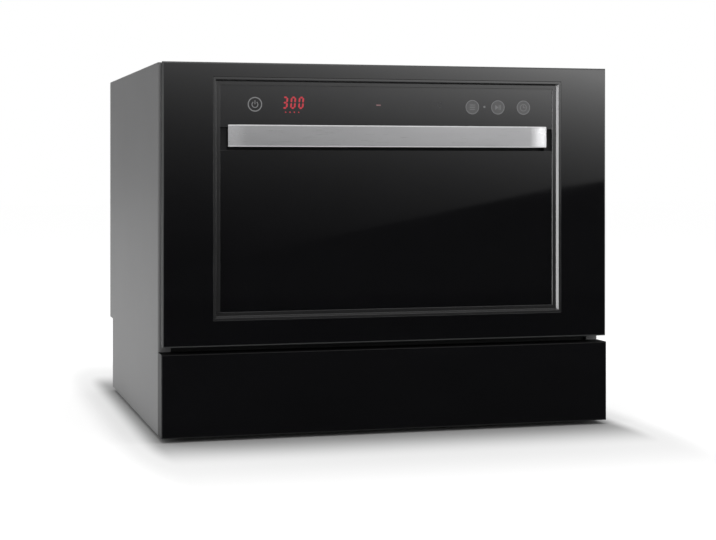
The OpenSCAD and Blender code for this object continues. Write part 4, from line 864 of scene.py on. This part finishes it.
@dataclass
class Segments:
    """A row of seven-segment digits."""

    left: float
    bottom: float
    height: float
    pitch: float
    stroke: float
    lean: float = 0.08
    width_share: float = 0.68
    gap_share: float = 0.12
    shapes: dict[str, str] = field(default_factory=lambda: {
        "0": "abcdef", "1": "bc", "2": "abged", "3": "abgcd", "4": "fgbc",
        "5": "afgcd", "6": "afgedc", "7": "abc", "8": "abcdefg", "9": "abfgcd"})

    def add(self, bm: bmesh.types.BMesh, digits: str, y: float) -> None:
        """Adds the lit segments of each digit in front of y.

        Args:
            bm: The mesh that takes it.
            digits: The digits, from the left.
            y: Back face of the segments.
        """
        for place, digit in enumerate(digits):
            for letter in self.shapes[digit]:
                outline = self._segment(letter)
                x0 = self.left + place * self.pitch
                add_plate(bm, [(x0 + x + self.lean * z, self.bottom + z) for x, z in outline], y)

    def _segment(self, letter: str) -> list[tuple[float, float]]:
        """One segment's six corners, from the digit's lower left corner.

        Args:
            letter: The segment's usual letter, a to g.

        Returns:
            The corners in X and Z.
        """
        w, h, s = self.pitch * self.width_share, self.height, self.stroke
        half, gap = h / 2, s * self.gap_share
        level = {"a": h - s / 2, "g": half, "d": s / 2}
        if letter in level:
            z = level[letter]
            x0, x1 = s / 2 + gap, w - s / 2 - gap
            return [(x0, z), (x0 + s / 2, z + s / 2), (x1 - s / 2, z + s / 2), (x1, z),
                    (x1 - s / 2, z - s / 2), (x0 + s / 2, z - s / 2)]
        x = w - s / 2 if letter in "bc" else s / 2
        z0, z1 = (half, h - s / 2) if letter in "bf" else (s / 2, half)
        z0, z1 = z0 + gap, z1 - gap
        return [(x, z0), (x + s / 2, z0 + s / 2), (x + s / 2, z1 - s / 2), (x, z1),
                (x - s / 2, z1 - s / 2), (x - s / 2, z0 + s / 2)]


@dataclass
class Controls:
    """Printed icons and lit signs on the control glass, placed from the cabinet's middle."""

    print_gap: float = 0.02 * MM
    icon_r: float = 8.6 * MM
    icon_z: float = 388.7 * MM
    touch_xs: tuple[float, ...] = (102.9 * MM, 135.6 * MM, 168.6 * MM)
    touch_ring: float = 0.9 * MM
    list_bars: tuple[Bar, ...] = in_mm((0, -2.6, 3.4, 0.5), (0, 0, 3.4, 0.5), (0, 2.6, 3.4, 0.5))
    play_corners: tuple = in_mm((-3.4, -3.0), (-3.4, 3.0), (0.8, 0.0))
    pause_bars: tuple[Bar, ...] = in_mm((1.6, 0, 0.4, 3.0), (3.4, 0, 0.4, 3.0))
    clock_radii: tuple[float, float] = (4.4 * MM, 3.6 * MM)
    clock_hands: tuple[Bar, ...] = in_mm((0, 1.4, 0.4, 1.8), (1.2, -0.1, 1.6, 0.4))
    start_dot_x: float = 118.3 * MM
    start_dot_rise: float = 0.5 * MM
    start_dot_r: float = 1.3 * MM
    power_x: float = -164.7 * MM
    power_rise: float = 0.8 * MM
    power_ring: float = 1.3 * MM
    power_drop: float = 0.3 * MM
    power_radii: tuple[float, float] = (4.0 * MM, 3.0 * MM)
    power_start: float = 125.0
    power_sweep: float = 290.0
    power_bar: tuple[Bar, ...] = in_mm((0, 2.3, 0.5, 2.3))
    rinse_x: float = 61.7 * MM
    rinse_rise: float = 2.3 * MM
    rinse_radii: tuple[float, float] = (3.2 * MM, 2.5 * MM)
    rinse_bar: tuple[Bar, ...] = in_mm((0, -1.75, 0.4, 0.75))
    lamp_x: float = -15.0 * MM
    lamp_bar: tuple[Bar, ...] = in_mm((0, 1.2, 2.8, 0.8))
    shown: str = "300"
    digits: Segments = field(default_factory=lambda: Segments(
        left=-132.5 * MM, bottom=384.5 * MM, height=14.5 * MM, pitch=9.6 * MM, stroke=2.1 * MM))
    dots: int = 4
    dot_left: float = -128.0 * MM
    dot_pitch: float = 5.2 * MM
    dot_z: float = 380.6 * MM
    dot_r: float = 0.8 * MM

    def build(self, shop: Workshop) -> None:
        """Lays every sign on the glass, in front of its own lamp or sensor.

        Args:
            shop: Makes the pieces and knows their bodies.
        """
        low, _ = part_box("control_glass")
        y = low.y - self.print_gap
        self._power(shop, y)
        self._touch(shop, y)
        self._rinse(shop, y)
        self._display(shop, y)

    def _power(self, shop: Workshop, y: float) -> None:
        """The power key: a ring round the usual broken circle and bar.

        Args:
            shop: Makes the pieces and knows their bodies.
            y: Back face of the signs.
        """
        bm = bmesh.new()
        x, z = self.power_x, self.icon_z + self.power_rise
        add_disc(bm, (x, y, z), self.icon_r, self.icon_r - self.power_ring)
        add_disc(bm, (x, y, z - self.power_drop), *self.power_radii, start=self.power_start,
                 sweep=self.power_sweep)
        add_bars(bm, (x, y, z), self.power_bar)
        shop.add("power_sign", bm, PRINT_GREY, "door", "display")

    def _touch(self, shop: Workshop, y: float) -> None:
        """Three round keys: programme, start and hold, and delay.

        Args:
            shop: Makes the pieces and knows their bodies.
            y: Back face of the signs.
        """
        discs, marks = bmesh.new(), bmesh.new()
        z, front = self.icon_z, y - SIGN_THICK
        for x in self.touch_xs:
            add_disc(discs, (x, y, z), self.icon_r)
            add_disc(marks, (x, front, z), self.icon_r, self.icon_r - self.touch_ring)
        first, second, third = self.touch_xs
        add_bars(marks, (first, front, z), self.list_bars)
        add_plate(marks, [(second + right, z + up) for right, up in self.play_corners], front)
        add_bars(marks, (second, front, z), self.pause_bars)
        add_disc(marks, (third, front, z), *self.clock_radii)
        add_bars(marks, (third, front, z), self.clock_hands)
        add_disc(marks, (self.start_dot_x, y, z + self.start_dot_rise), self.start_dot_r)
        shop.add("touch_discs", discs, TOUCH_DISC, "door", "display")
        shop.add("touch_marks", marks, PRINT_GREY, "door", "display")

    def _rinse(self, shop: Workshop, y: float) -> None:
        """The faint rinse aid sign: a ring over a short bar.

        Args:
            shop: Makes the pieces and knows their bodies.
            y: Back face of the signs.
        """
        bm = bmesh.new()
        add_disc(bm, (self.rinse_x, y, self.icon_z + self.rinse_rise), *self.rinse_radii)
        add_bars(bm, (self.rinse_x, y, self.icon_z), self.rinse_bar)
        shop.add("rinse_sign", bm, PRINT_FAINT, "door", "display")

    def _display(self, shop: Workshop, y: float) -> None:
        """The three lit digits, the row of dots below them and the red lamp.

        Args:
            shop: Makes the pieces and knows their bodies.
            y: Back face of the signs.
        """
        lit, lamp = bmesh.new(), bmesh.new()
        self.digits.add(lit, self.shown, y)
        for k in range(self.dots):
            add_disc(lit, (self.dot_left + k * self.dot_pitch, y, self.dot_z), self.dot_r, steps=16)
        shop.add("lit_digits", lit, RED_SEGMENT, "door", "display")
        add_bars(lamp, (self.lamp_x, y, self.icon_z), self.lamp_bar)
        shop.add("pilot_lamp", lamp, PILOT_RED, "door", "display")


@dataclass
class Door:
    """Glass front, trim, handle, inner door and dispenser."""

    glass_edge: float = 0.25 * MM
    handle_edge: float = 0.5 * MM
    bar_depth: float = 3.0 * MM
    end_reach: float = 24.0 * MM
    end_depth: float = 3.0 * MM
    end_steps: int = 12
    shells: tuple[tuple[str, Finish, float], ...] = (
        ("door_carrier", BLACK_PLASTIC, 0.4 * MM), ("door_liner", STAINLESS_X, 0.35 * MM),
        ("detergent_dispenser", LIGHT_PLASTIC, 0.6 * MM),
        ("detergent_lid", GREY_PLASTIC, 0.4 * MM), ("rinse_cap", BLUE_PLASTIC, 0.5 * MM),
        ("lid_latch", GREY_PLASTIC, 0.3 * MM))
    controls: Controls = field(default_factory=Controls)

    def build(self, shop: Workshop) -> None:
        """Replaces the visible shells and lays the signs on the glass.

        Args:
            shop: Makes the pieces and knows their bodies.
        """

        def glass_index(face: bmesh.types.BMFace) -> int:
            """Picks the ground edge for the bevel and the four sides."""
            return 0 if abs(face.normal.y) > 0.95 else 1

        def inner_wall(face: bmesh.types.BMFace) -> int:
            """Picks the painted highlight for the trim's right inner wall; every other face takes
            the painted shade.
            """
            return 0 if face.normal.x < -0.6 and face.calc_center_median().x > 0.0 else 1

        def bar_index(face: bmesh.types.BMFace) -> int:
            """Picks the painted highlight, a pale satin copy of the bar's metal, for the bar's
            slanting faces.
            """
            return 1 if 0.5 < abs(face.normal.z) < 0.9 else 0

        shop.rounded("door_glass", (BLACK_GLASS, GROUND_EDGE), self.glass_edge, pick=glass_index)
        shop.rounded("lower_glass", BLACK_GLASS, self.glass_edge)
        shop.rounded("control_glass", SMOKED_GLASS, self.glass_edge)
        # The door trim is split by face: a painted highlight on its right inner wall, painted shade
        # elsewhere.
        shop.rounded("door_trim", (TRIM_PAINTED_HIGHLIGHT, TRIM_PAINTED_SHADE), self.glass_edge, pick=inner_wall,
                     edge_index=1)
        # The handle bar's slanting faces and roundings take a painted highlight.
        shop.rounded("handle_bar", (BRUSHED_ALUMINIUM, BAR_EDGE_HIGHLIGHT), self.handle_edge, segments=3,
                     pick=bar_index, edge_index=1, reshape=self._bend_ends)
        for node, finish, edge in self.shells:
            shop.rounded(node, finish, edge)
        self.controls.build(shop)

    def _bend_ends(self, bm: bmesh.types.BMesh) -> None:
        """Curves both ends of the handle bar back, towards the pane.

        Args:
            bm: The bar's mesh, which is changed.
        """
        low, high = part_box("handle_bar")
        start = high.x - self.end_reach
        for side in (-1.0, 1.0):
            for step in range(1, self.end_steps):
                x = side * (start + self.end_reach * step / self.end_steps)
                parts = bm.verts[:] + bm.edges[:] + bm.faces[:]
                bmesh.ops.bisect_plane(bm, geom=parts, plane_co=(x, 0.0, 0.0),
                                       plane_no=(1.0, 0.0, 0.0))
        for vert in bm.verts:
            share = max(0.0, (abs(vert.co.x) - start) / self.end_reach)
            if vert.co.y < low.y + self.bar_depth:
                vert.co.y += self.end_depth * share * share

    def dress(self, shop: Workshop) -> None:
        """Finishes the nodes that keep their own shape.

        Args:
            shop: Gives the nodes their finishes.
        """
        shop.paint(DISPLAY_FILTER, "display_module")
        shop.paint(CIRCUIT_BOARD, "touch_board")
        shop.paint(DENSE_FELT, "door_pad")
        shop.paint(ZINC_STEEL, "hinge_arms", "hinge_springs")
        shop.paint(STAINLESS_X, "door_strike")


@dataclass
class Tub:
    """Steel tub with its seal, heater, filter and spray arm, and the cutlery basket in it."""

    basket_edge: float = 0.5 * MM

    def build(self, shop: Workshop) -> None:
        """Replaces the cutlery basket by one with soft edges."""
        shop.rounded("cutlery_basket", GREY_PLASTIC, self.basket_edge)

    def dress(self, shop: Workshop) -> None:
        """Finishes the tub and what stands in it.

        Args:
            shop: Gives the nodes their finishes.
        """
        shop.paint(STAINLESS_X, "tub", "filter_plate")
        shop.paint(SOFT_RUBBER, "tub_gasket", "hoses")
        shop.paint(ZINC_STEEL, "heater", "circulation_pump")
        shop.paint(LIGHT_PLASTIC, "spray_hub", "spray_arm", "salt_container", "salt_cap",
                   "water_chamber", "pump_impeller", "drain_impeller")
        shop.paint(GREY_PLASTIC, "coarse_filter")
        shop.paint(BLACK_PLASTIC, "sump", "drain_pump", "float_switch")
        shop.paint(DENSE_FELT, "sound_mat")
        shop.paint(CIRCUIT_BOARD, "power_board")
        shop.paint(ORANGE_FOAM, "float")
        shop.paint(STAMPED_BRASS, "latch_catch")


@dataclass
class Basket:
    """Coated wire basket, its tines, shelves and rollers."""

    wire: float = 2.0 * MM
    rim: float = 2.5 * MM
    tine: float = 1.8 * MM
    tip_share: float = 1.2
    weld: float = 0.05 * MM
    half: float = 206.0 * MM
    bend: float = 14.0 * MM
    cross_bend: float = 9.0 * MM
    loop_bend: float = 30.0 * MM
    floor_z: float = 162.0 * MM
    rim_z: float = 250.0 * MM
    wire_rise: float = 1.0 * MM
    toe_run: float = 62.0 * MM
    toe_rise: float = 60.0 * MM
    heel_run: float = 20.0 * MM
    heel_rise: float = 26.0 * MM
    step: float = 28.0 * MM
    long_steps: tuple[float, ...] = (0.5, 2.5, 4.5, 6.0)
    cross_runs: tuple[float, ...] = (8.0 * MM, 55.0 * MM, 110.0 * MM, 175.0 * MM, 265.0 * MM)
    last_run: float = 34.0 * MM
    rail_ends: tuple[float, float] = (4.0 * MM, 18.0 * MM)
    tine_rows: tuple[tuple[int, int], ...] = ((3, 5), (4, 5), (1, 0))
    first_tine: int = -5
    roller_z: float = 147.3 * MM
    roller_ys: tuple[float, ...] = (-34.5 * MM, 147.0 * MM)
    roller_edge: float = 0.4 * MM
    axle: float = 3.0 * MM
    mount_half: float = 1.0 * MM
    mount_head: float = 12.0 * MM
    mount_foot: float = 7.0 * MM
    hook: float = 1.5 * MM
    hook_rise: float = 64.0 * MM
    hook_gap: float = 0.3 * MM
    hook_reach: float = 10.5 * MM
    shelf_wire: float = 1.5 * MM
    shelf_rail: float = 1.6 * MM
    shelf_rails: tuple[float, ...] = (39.0 * MM, 76.0 * MM)
    shelf_drop: float = 1.0 * MM
    shelf_end: float = 6.0 * MM
    shelf_runs: int = 6
    sharp_angle: float = 50.0
    front: float = field(init=False)
    back: float = field(init=False)
    axle_end: float = field(init=False)
    toe_y: float = field(init=False)
    cross_ys: list[float] = field(init=False)

    def build(self, shop: Workshop) -> None:
        """Bends every wire smoothly and replaces the plain ones.

        Args:
            shop: Makes the pieces and knows their bodies.
        """
        low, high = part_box("basket")
        self.front, self.back = low.y + self.rim, high.y - self.rim
        self.axle_end = high.x
        self.toe_y = self.front + self.toe_run
        self.cross_ys = [self.toe_y + run for run in self.cross_runs] + [self.back - self.last_run]
        self._frame(shop)
        self._tines(shop)
        for node in ("left_cup_shelf", "right_cup_shelf"):
            self._shelf(shop, node)
        for node in ("front_rollers", "rear_rollers"):
            shop.rounded(node, LIGHT_PLASTIC, self.roller_edge)

    def dress(self, shop: Workshop) -> None:
        """Leaves the wires as built: they carry their coating already."""

    def _replace(self, shop: Workshop, name: str, bm: bmesh.types.BMesh, node: str) -> None:
        """Sets bent wires in place of a node, on the node's own body.

        Args:
            shop: Makes the pieces and knows their bodies.
            name: The piece's name.
            bm: Its mesh.
            node: The node that it replaces.
        """
        piece = shop.add(name, bm, COATED_WIRE, shop.body_of[node], "basket_wire",
                         self.sharp_angle)
        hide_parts(node)

    def _frame(self, shop: Workshop) -> None:
        """Floor, cross, rim and side wires with the roller mounts and hooks.

        Args:
            shop: Makes the pieces and knows their bodies.
        """
        bm = bmesh.new()
        inner = self.rim + self.wire + self.weld
        top = self.rim_z + self.wire_rise
        run = [(self.front + inner, top), (self.front + inner, self.floor_z + self.toe_rise),
               (self.toe_y, self.floor_z), (self.back - self.heel_run, self.floor_z),
               (self.back - inner, self.floor_z + self.heel_rise), (self.back - inner, top)]
        for k in self.long_steps:
            for side in (-1, 1):
                corners = [(side * k * self.step, y, z) for y, z in run]
                add_tube(bm, rounded_path(corners, self.bend), self.wire)
        under, wide = self.floor_z - 2.0 * self.wire - self.weld, self.half - inner
        for y in self.cross_ys:
            corners = [(-wide, y, top), (-wide, y, under), (wide, y, under), (wide, y, top)]
            add_tube(bm, rounded_path(corners, self.cross_bend), self.wire)
        for z in (self.rim_z, (self.floor_z + self.toe_rise + self.rim_z) / 2.0):
            corners = [(-self.half, self.front, z), (self.half, self.front, z),
                       (self.half, self.back, z), (-self.half, self.back, z)]
            add_tube(bm, rounded_path(corners, self.loop_bend, 10, True), self.rim, closed=True)
        rail_front, rail_back = self.rail_ends
        for side in (-1, 1):
            x = side * self.half
            add_tube(bm, [Vector((x, self.toe_y - rail_front, self.floor_z)),
                          Vector((x, self.back - rail_back, self.floor_z))], self.rim)
            for y in self.roller_ys:
                self._mount(bm, side, y)
            for y in self.cross_ys[3:5]:
                self._hook(bm, side, y)
        self._replace(shop, "basket_wires", bm, "basket")

    def _mount(self, bm: bmesh.types.BMesh, side: int, y: float) -> None:
        """One pressed roller plate below the side rail, with its axle.

        Args:
            bm: The mesh that takes it.
            side: -1 at the left, 1 at the right.
            y: The axle's place.
        """
        top = self.floor_z - self.rim - self.weld
        head, foot = self.mount_head, self.mount_foot
        outline = [(y - head, top), (y - foot, self.roller_z)]
        outline += [(y + foot * math.cos(a), self.roller_z + foot * math.sin(a))
                    for a in (math.radians(180.0 + 15.0 * k) for k in range(1, 12))]
        outline += [(y + foot, self.roller_z), (y + head, top)]
        inside, outside = self.half - self.mount_half, self.half + self.mount_half
        add_slab(bm, [(side * inside, a, b) for a, b in outline],
                 [(side * outside, a, b) for a, b in outline])
        add_tube(bm, [Vector((side * inside, y, self.roller_z)),
                      Vector((side * self.axle_end, y, self.roller_z))], self.axle, 24)

    def _hook(self, bm: bmesh.types.BMesh, side: int, y: float) -> None:
        """One short wire that carries a cup shelf's hinge wire.

        Args:
            bm: The mesh that takes it.
            side: -1 at the left, 1 at the right.
            y: Place of the cross wire that carries it.
        """
        z = self.floor_z + self.hook_rise - self.wire - self.hook_gap - self.hook
        place = y + self.wire + self.hook + self.weld
        add_tube(bm, [Vector((side * (self.half - self.hook_reach), place, z)),
                      Vector((side * (self.half - self.rim), place, z))], self.hook)

    def _tines(self, shop: Workshop) -> None:
        """Upright tines with dipped, domed tips.

        Args:
            shop: Makes the pieces and knows their bodies.
        """
        bm = bmesh.new()
        low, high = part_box("plate_tines")
        tip = self.tine * self.tip_share
        for cross, last in self.tine_rows:
            y = self.cross_ys[cross]
            for k in range(self.first_tine, last + 1):
                x = k * self.step
                add_tube(bm, [Vector((x, y, low.z)), Vector((x, y, high.z - tip))], self.tine)
                bmesh.ops.create_uvsphere(bm, u_segments=14, v_segments=8, radius=tip,
                                          matrix=Matrix.Translation((x, y, high.z - tip)))
        self._replace(shop, "tine_wires", bm, "plate_tines")

    def _shelf(self, shop: Workshop, node: str) -> None:
        """One folding cup shelf of thin wires, drawn folded up.

        Args:
            shop: Makes the pieces and knows their bodies.
            node: The shelf's node.
        """
        low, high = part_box(node)
        side = -1 if low.x < 0.0 else 1
        x = (low.x if side < 0 else high.x) - side * self.wire
        rail = x - side * self.shelf_wire
        bottom, top = low.z + self.wire, high.z - self.shelf_drop
        bm = bmesh.new()
        add_tube(bm, [Vector((x, low.y, bottom)), Vector((x, high.y, bottom))], self.wire)
        for z in (bottom + rise for rise in self.shelf_rails):
            add_tube(bm, [Vector((rail, low.y, z)), Vector((rail, high.y, z))], self.shelf_rail)
        reach = high.y - low.y - 2.0 * self.shelf_end
        for k in range(self.shelf_runs + 1):
            y = low.y + self.shelf_end + k * reach / self.shelf_runs
            add_tube(bm, [Vector((x, y, bottom)), Vector((rail, y, top))], self.shelf_wire)
        self._replace(shop, f"{node}_wires", bm, node)


# ---- studio ----------------------------------------------------------------


@dataclass(frozen=True)
class Glow:
    """A card's brightness: level times exp(right X + up Z), in metres, and never above most."""

    level: float
    right: float = 0.0
    up: float = 0.0
    most: float = 2.0


@dataclass(frozen=True)
class Lamp:
    """A square soft lamp aimed at a point."""

    name: str
    place: Point
    target: Point
    size: float
    power: float

    def build(self) -> None:
        """Hangs the lamp, out of sight of polished faces."""
        data = bpy.data.lights.new(self.name, "AREA")
        data.size = self.size
        data.energy = self.power
        lamp = new_object(self.name, data)
        aim = Vector(self.target) - Vector(self.place)
        lamp.location = self.place
        lamp.rotation_euler = aim.to_track_quat("-Z", "Y").to_euler()
        lamp.visible_glossy = False


@dataclass
class Studio:
    """Floor, world, lamps, reflection cards and camera."""

    lens: float = 82.3
    sensor: float = 36.0
    yaw: float = 15.271
    eye: Point = (-0.5511, -2.1141, 0.3156)
    shift_y: float = -0.1429
    clip_end: float = 60.0
    world_level: float = 0.75
    floor_size: float = 12.0
    floor_rough: float = 0.8
    # Painted shadow: the floor is darker to camera and glossy rays than to light, and the glow
    # ramps below brighten it only away from the footprint, sooner sideways.
    floor_seen: float = 0.42
    floor_lit: float = 0.82
    painted_shadow_near: tuple[float, float, float] = (-0.006, 0.152, 0.5)
    painted_shadow_far: tuple[float, float, float] = (0.15, 0.38, 0.18)
    side_factor: float = 5.5
    face_y: float = -0.25
    card_y: float = -2.25
    card_step: float = 0.01
    card_low: float = 0.2
    card_lap: float = 0.03
    card_top: float = 0.72
    flag_low: float = -0.6
    flag_reach: float = 3.0
    left_reach: float = 1.6
    left_top: float = 0.9
    end_reach: float = 1.2
    end_rise: float = 0.12
    end_top: float = 0.8
    edge_marks: tuple[tuple[float, float], ...] = (
        (-0.290, 0.190), (-0.050, 0.2395), (0.075, 0.265), (0.210, 0.2915), (0.272, 0.300))
    soft_glow: Glow = Glow(math.exp(-4.796), 1.3025, 7.236)
    dark_glow: Glow = Glow(0.02)
    left_glow: Glow = Glow(0.8)
    end_glow: Glow = Glow(math.exp(-4.15), 3.0, most=5.0)
    side_glow: Glow = Glow(0.15)
    floor_glow: Glow = Glow(0.012)
    side_left: float = -3.2
    side_right: float = -0.3
    side_foot: float = 0.22
    side_top: float = 2.6
    side_y: float = 1.9
    apron_left: float = -1.2
    apron_right: float = 2.2
    apron_y: float = -0.262
    apron_z: float = 0.0006
    lamps: tuple[Lamp, ...] = (
        Lamp("top_lamp", (0.1, -0.1, 2.6), (0.0, 0.0, 0.2), 2.2, 26.0),
        Lamp("left_lamp", (-1.7, 1.0, 0.5), (-0.2, 0.0, 0.2), 1.0, 5.0))

    def build(self) -> None:
        """Sets up everything that isn't the object."""
        self._camera()
        self._world()
        self._floor()
        self._cards()
        for lamp in self.lamps:
            lamp.build()
        bpy.context.scene.view_settings.view_transform = "Standard"

    def _camera(self) -> None:
        """A level view from the front left."""
        data = bpy.data.cameras.new("camera")
        data.lens = self.lens
        data.sensor_width = self.sensor
        data.shift_y = self.shift_y
        data.clip_end = self.clip_end
        camera = new_object("camera", data)
        camera.location = self.eye
        camera.rotation_euler = (math.radians(90.0), 0.0, -math.radians(self.yaw))
        bpy.context.scene.camera = camera

    def _seen(self, tree: bpy.types.NodeTree, seen: float, lit: float) -> bpy.types.NodeSocket:
        """A strength that depends on the kind of ray.

        Args:
            tree: The tree that takes the nodes.
            seen: Strength for camera, glossy and transmitted rays.
            lit: Strength for all other rays.

        Returns:
            The strength's socket.
        """
        path = tree.nodes.new("ShaderNodeLightPath")
        direct = path.outputs["Is Camera Ray"]
        for kind in ("Is Glossy Ray", "Is Transmission Ray"):
            direct = math_node(tree, "MAXIMUM", direct, path.outputs[kind])
        value = math_node(tree, "MULTIPLY_ADD", direct, seen - lit)
        value.node.inputs[2].default_value = lit
        return value

    def _world(self) -> None:
        """An even pale surround."""
        world = bpy.data.worlds.new("surround")
        world.use_nodes = True
        bpy.context.scene.world = world
        tree = world.node_tree
        back = tree.nodes["Background"]
        back.inputs["Color"].default_value = WHITE
        tree.links.new(self._seen(tree, 1.0, self.world_level), back.inputs["Strength"])

    def _away(self, tree: bpy.types.NodeTree) -> bpy.types.NodeSocket:
        """How far a place on the floor lies outside the footprint, sideways counted more, which
        shapes the floor's painted shadow.

        Args:
            tree: The tree that takes the nodes.

        Returns:
            The distance's socket, in metres.
        """
        _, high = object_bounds()
        place = tree.nodes.new("ShaderNodeTexCoord")
        split = tree.nodes.new("ShaderNodeSeparateXYZ")
        tree.links.new(place.outputs["Object"], split.inputs[0])
        gaps = []
        for name, half, factor in (("X", high.x, self.side_factor), ("Y", high.y, 1.0)):
            reach = math_node(tree, "ABSOLUTE", split.outputs[name])
            outside = math_node(tree, "MAXIMUM", math_node(tree, "SUBTRACT", reach, half))
            gap = math_node(tree, "MULTIPLY", outside, factor)
            gaps.append(math_node(tree, "MULTIPLY", gap, gap))
        return math_node(tree, "SQRT", math_node(tree, "ADD", *gaps))

    def _ramp(self, tree: bpy.types.NodeTree, value: bpy.types.NodeSocket, start: float, end: float,
              most: float) -> bpy.types.NodeSocket:
        """A smooth step from nothing at start to most at end.

        Args:
            tree: The tree that takes the nodes.
            value: What is ramped.
            start: Value where the step starts.
            end: Value where it ends.
            most: What it reaches.

        Returns:
            The step's socket.
        """
        ramp = tree.nodes.new("ShaderNodeMapRange")
        ramp.interpolation_type = "SMOOTHSTEP"
        for key, number in (("From Min", start), ("From Max", end), ("To Min", 0.0),
                            ("To Max", most)):
            ramp.inputs[key].default_value = number
        tree.links.new(value, ramp.inputs["Value"])
        return ramp.outputs["Result"]

    def _floor(self) -> None:
        """A pale floor with a painted shadow: its glow for camera and glossy rays is nil at the
        footprint and grows white away from the object, faster sideways, on top of the lamps' own
        shadow.
        """
        mesh = bpy.data.meshes.new("floor")
        bm = bmesh.new()
        bmesh.ops.create_grid(bm, x_segments=1, y_segments=1, size=self.floor_size)
        bm.to_mesh(mesh)
        bm.free()
        new_object("floor", mesh)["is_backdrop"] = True
        material = bpy.data.materials.new("floor_white")
        material.use_nodes = True
        tree = material.node_tree
        shader = tree.nodes["Principled BSDF"]
        tree.links.new(self._seen(tree, self.floor_seen, self.floor_lit),
                       shader.inputs["Base Color"])
        shader.inputs["Roughness"].default_value = self.floor_rough
        shader.inputs["Specular IOR Level"].default_value = 0.0
        away = self._away(tree)
        near = self._ramp(tree, away, *self.painted_shadow_near)
        far = self._ramp(tree, away, *self.painted_shadow_far)
        glow = tree.nodes.new("ShaderNodeEmission")
        glow.inputs["Color"].default_value = WHITE
        add = tree.nodes.new("ShaderNodeAddShader")
        level = math_node(tree, "MULTIPLY", self._seen(tree, 1.0, 0.0),
                          math_node(tree, "ADD", near, far))
        tree.links.new(level, glow.inputs["Strength"])
        tree.links.new(shader.outputs[0], add.inputs[0])
        tree.links.new(glow.outputs[0], add.inputs[1])
        tree.links.new(add.outputs[0], tree.nodes["Material Output"].inputs["Surface"])
        mesh.materials.append(material)

    def _card(self, name: str, corners: Sequence[Point], shine: Glow) -> None:
        """A card that only polished faces see.

        Args:
            name: The card's name.
            corners: Its corners.
            shine: Its brightness.
        """
        mesh = bpy.data.meshes.new(name)
        mesh.from_pydata([Vector(c) for c in corners], [], [tuple(range(len(corners)))])
        card = new_object(name, mesh)
        for flag in ("visible_camera", "visible_diffuse", "visible_shadow",
                     "visible_transmission"):
            setattr(card, flag, False)
        material = bpy.data.materials.new(name)
        material.use_nodes = True
        tree = material.node_tree
        tree.nodes.remove(tree.nodes["Principled BSDF"])
        glow = tree.nodes.new("ShaderNodeEmission")
        place = tree.nodes.new("ShaderNodeTexCoord")
        split = tree.nodes.new("ShaderNodeSeparateXYZ")
        tree.links.new(place.outputs["Object"], split.inputs[0])
        power = math_node(tree, "MULTIPLY_ADD", split.outputs["X"], shine.right)
        tree.links.new(math_node(tree, "MULTIPLY", split.outputs["Z"], shine.up),
                       power.node.inputs[2])
        growth = math_node(tree, "EXPONENT", power)
        bright = math_node(tree, "MINIMUM", math_node(tree, "MULTIPLY", growth, shine.level),
                           shine.most)
        tree.links.new(bright, glow.inputs["Strength"])
        tree.links.new(glow.outputs[0], tree.nodes["Material Output"].inputs["Surface"])
        mesh.materials.append(material)
        card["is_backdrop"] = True

    def _mirrored(self, x: float, z: float) -> Point:
        """Where the eye sees the cards' plane in the door's face at x and z, in metres."""
        run = (self.face_y - self.card_y) / (self.face_y - self.eye[1])
        return (x + (x - self.eye[0]) * run, self.card_y, z + (z - self.eye[2]) * run)

    def _upright(self, name: str, left: float, right: float, low: float, top: float, y: float,
                 shine: Glow) -> None:
        """An upright card between two places in X and two heights."""
        self._card(name, [(left, y, low), (right, y, low), (right, y, top), (left, y, top)], shine)

    def _cards(self) -> None:
        """Dark flags low in front, and a soft box above them with a slanting lower edge."""
        y, step = self.card_y, self.card_step
        edge = [self._mirrored(x, z) for x, z in self.edge_marks]
        first, last = edge[0], edge[-1]
        far = (last[0] + self.end_reach, y, last[2] + self.end_rise)
        edge.append(far)
        self._card("soft_box", [(p[0], y, p[2] - self.card_lap) for p in edge] +
                   [(far[0], y, self.card_top), (first[0], y, self.card_top)], self.soft_glow)
        behind = y + step
        left, right = first[0] - self.flag_reach, far[0] + self.flag_reach
        self._card("dark_flag", [(left, behind, self.flag_low), (right, behind, self.flag_low),
                                 (right, behind, far[2])] +
                   [(p[0], behind, p[2]) for p in reversed(edge)] +
                   [(first[0], behind, self.left_top), (left, behind, self.left_top)],
                   self.dark_glow)
        behind = y + 2.0 * step
        self._upright("left_box", first[0] - self.left_reach, first[0] - 2.0 * step,
                      self.card_low, self.left_top, behind, self.left_glow)
        self._upright("end_box", last[0] + 2.0 * step, far[0], self.card_low, self.end_top,
                      behind, self.end_glow)
        self._upright("side_flag", self.side_left, self.side_right, self.side_foot,
                      self.side_top, self.side_y, self.side_glow)
        left, right, near, z = self.apron_left, self.apron_right, self.apron_y, self.apron_z
        self._card("floor_flag", [(left, near, z), (left, y, z), (right, y, z), (right, near, z)],
                   self.floor_glow)


# ---- main ------------------------------------------------------------------


def main() -> None:
    """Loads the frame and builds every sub-assembly in order."""
    logging.basicConfig(level=logging.INFO, format="%(name)s: %(message)s")
    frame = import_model()
    Studio().build()
    shop = Workshop(frame)
    for assembly in (Cabinet(), Door(), Tub(), Basket()):
        assembly.build(shop)
        assembly.dress(shop)
        LOG.info("built %s", type(assembly).__name__)


if __name__ == "__main__":
    main()
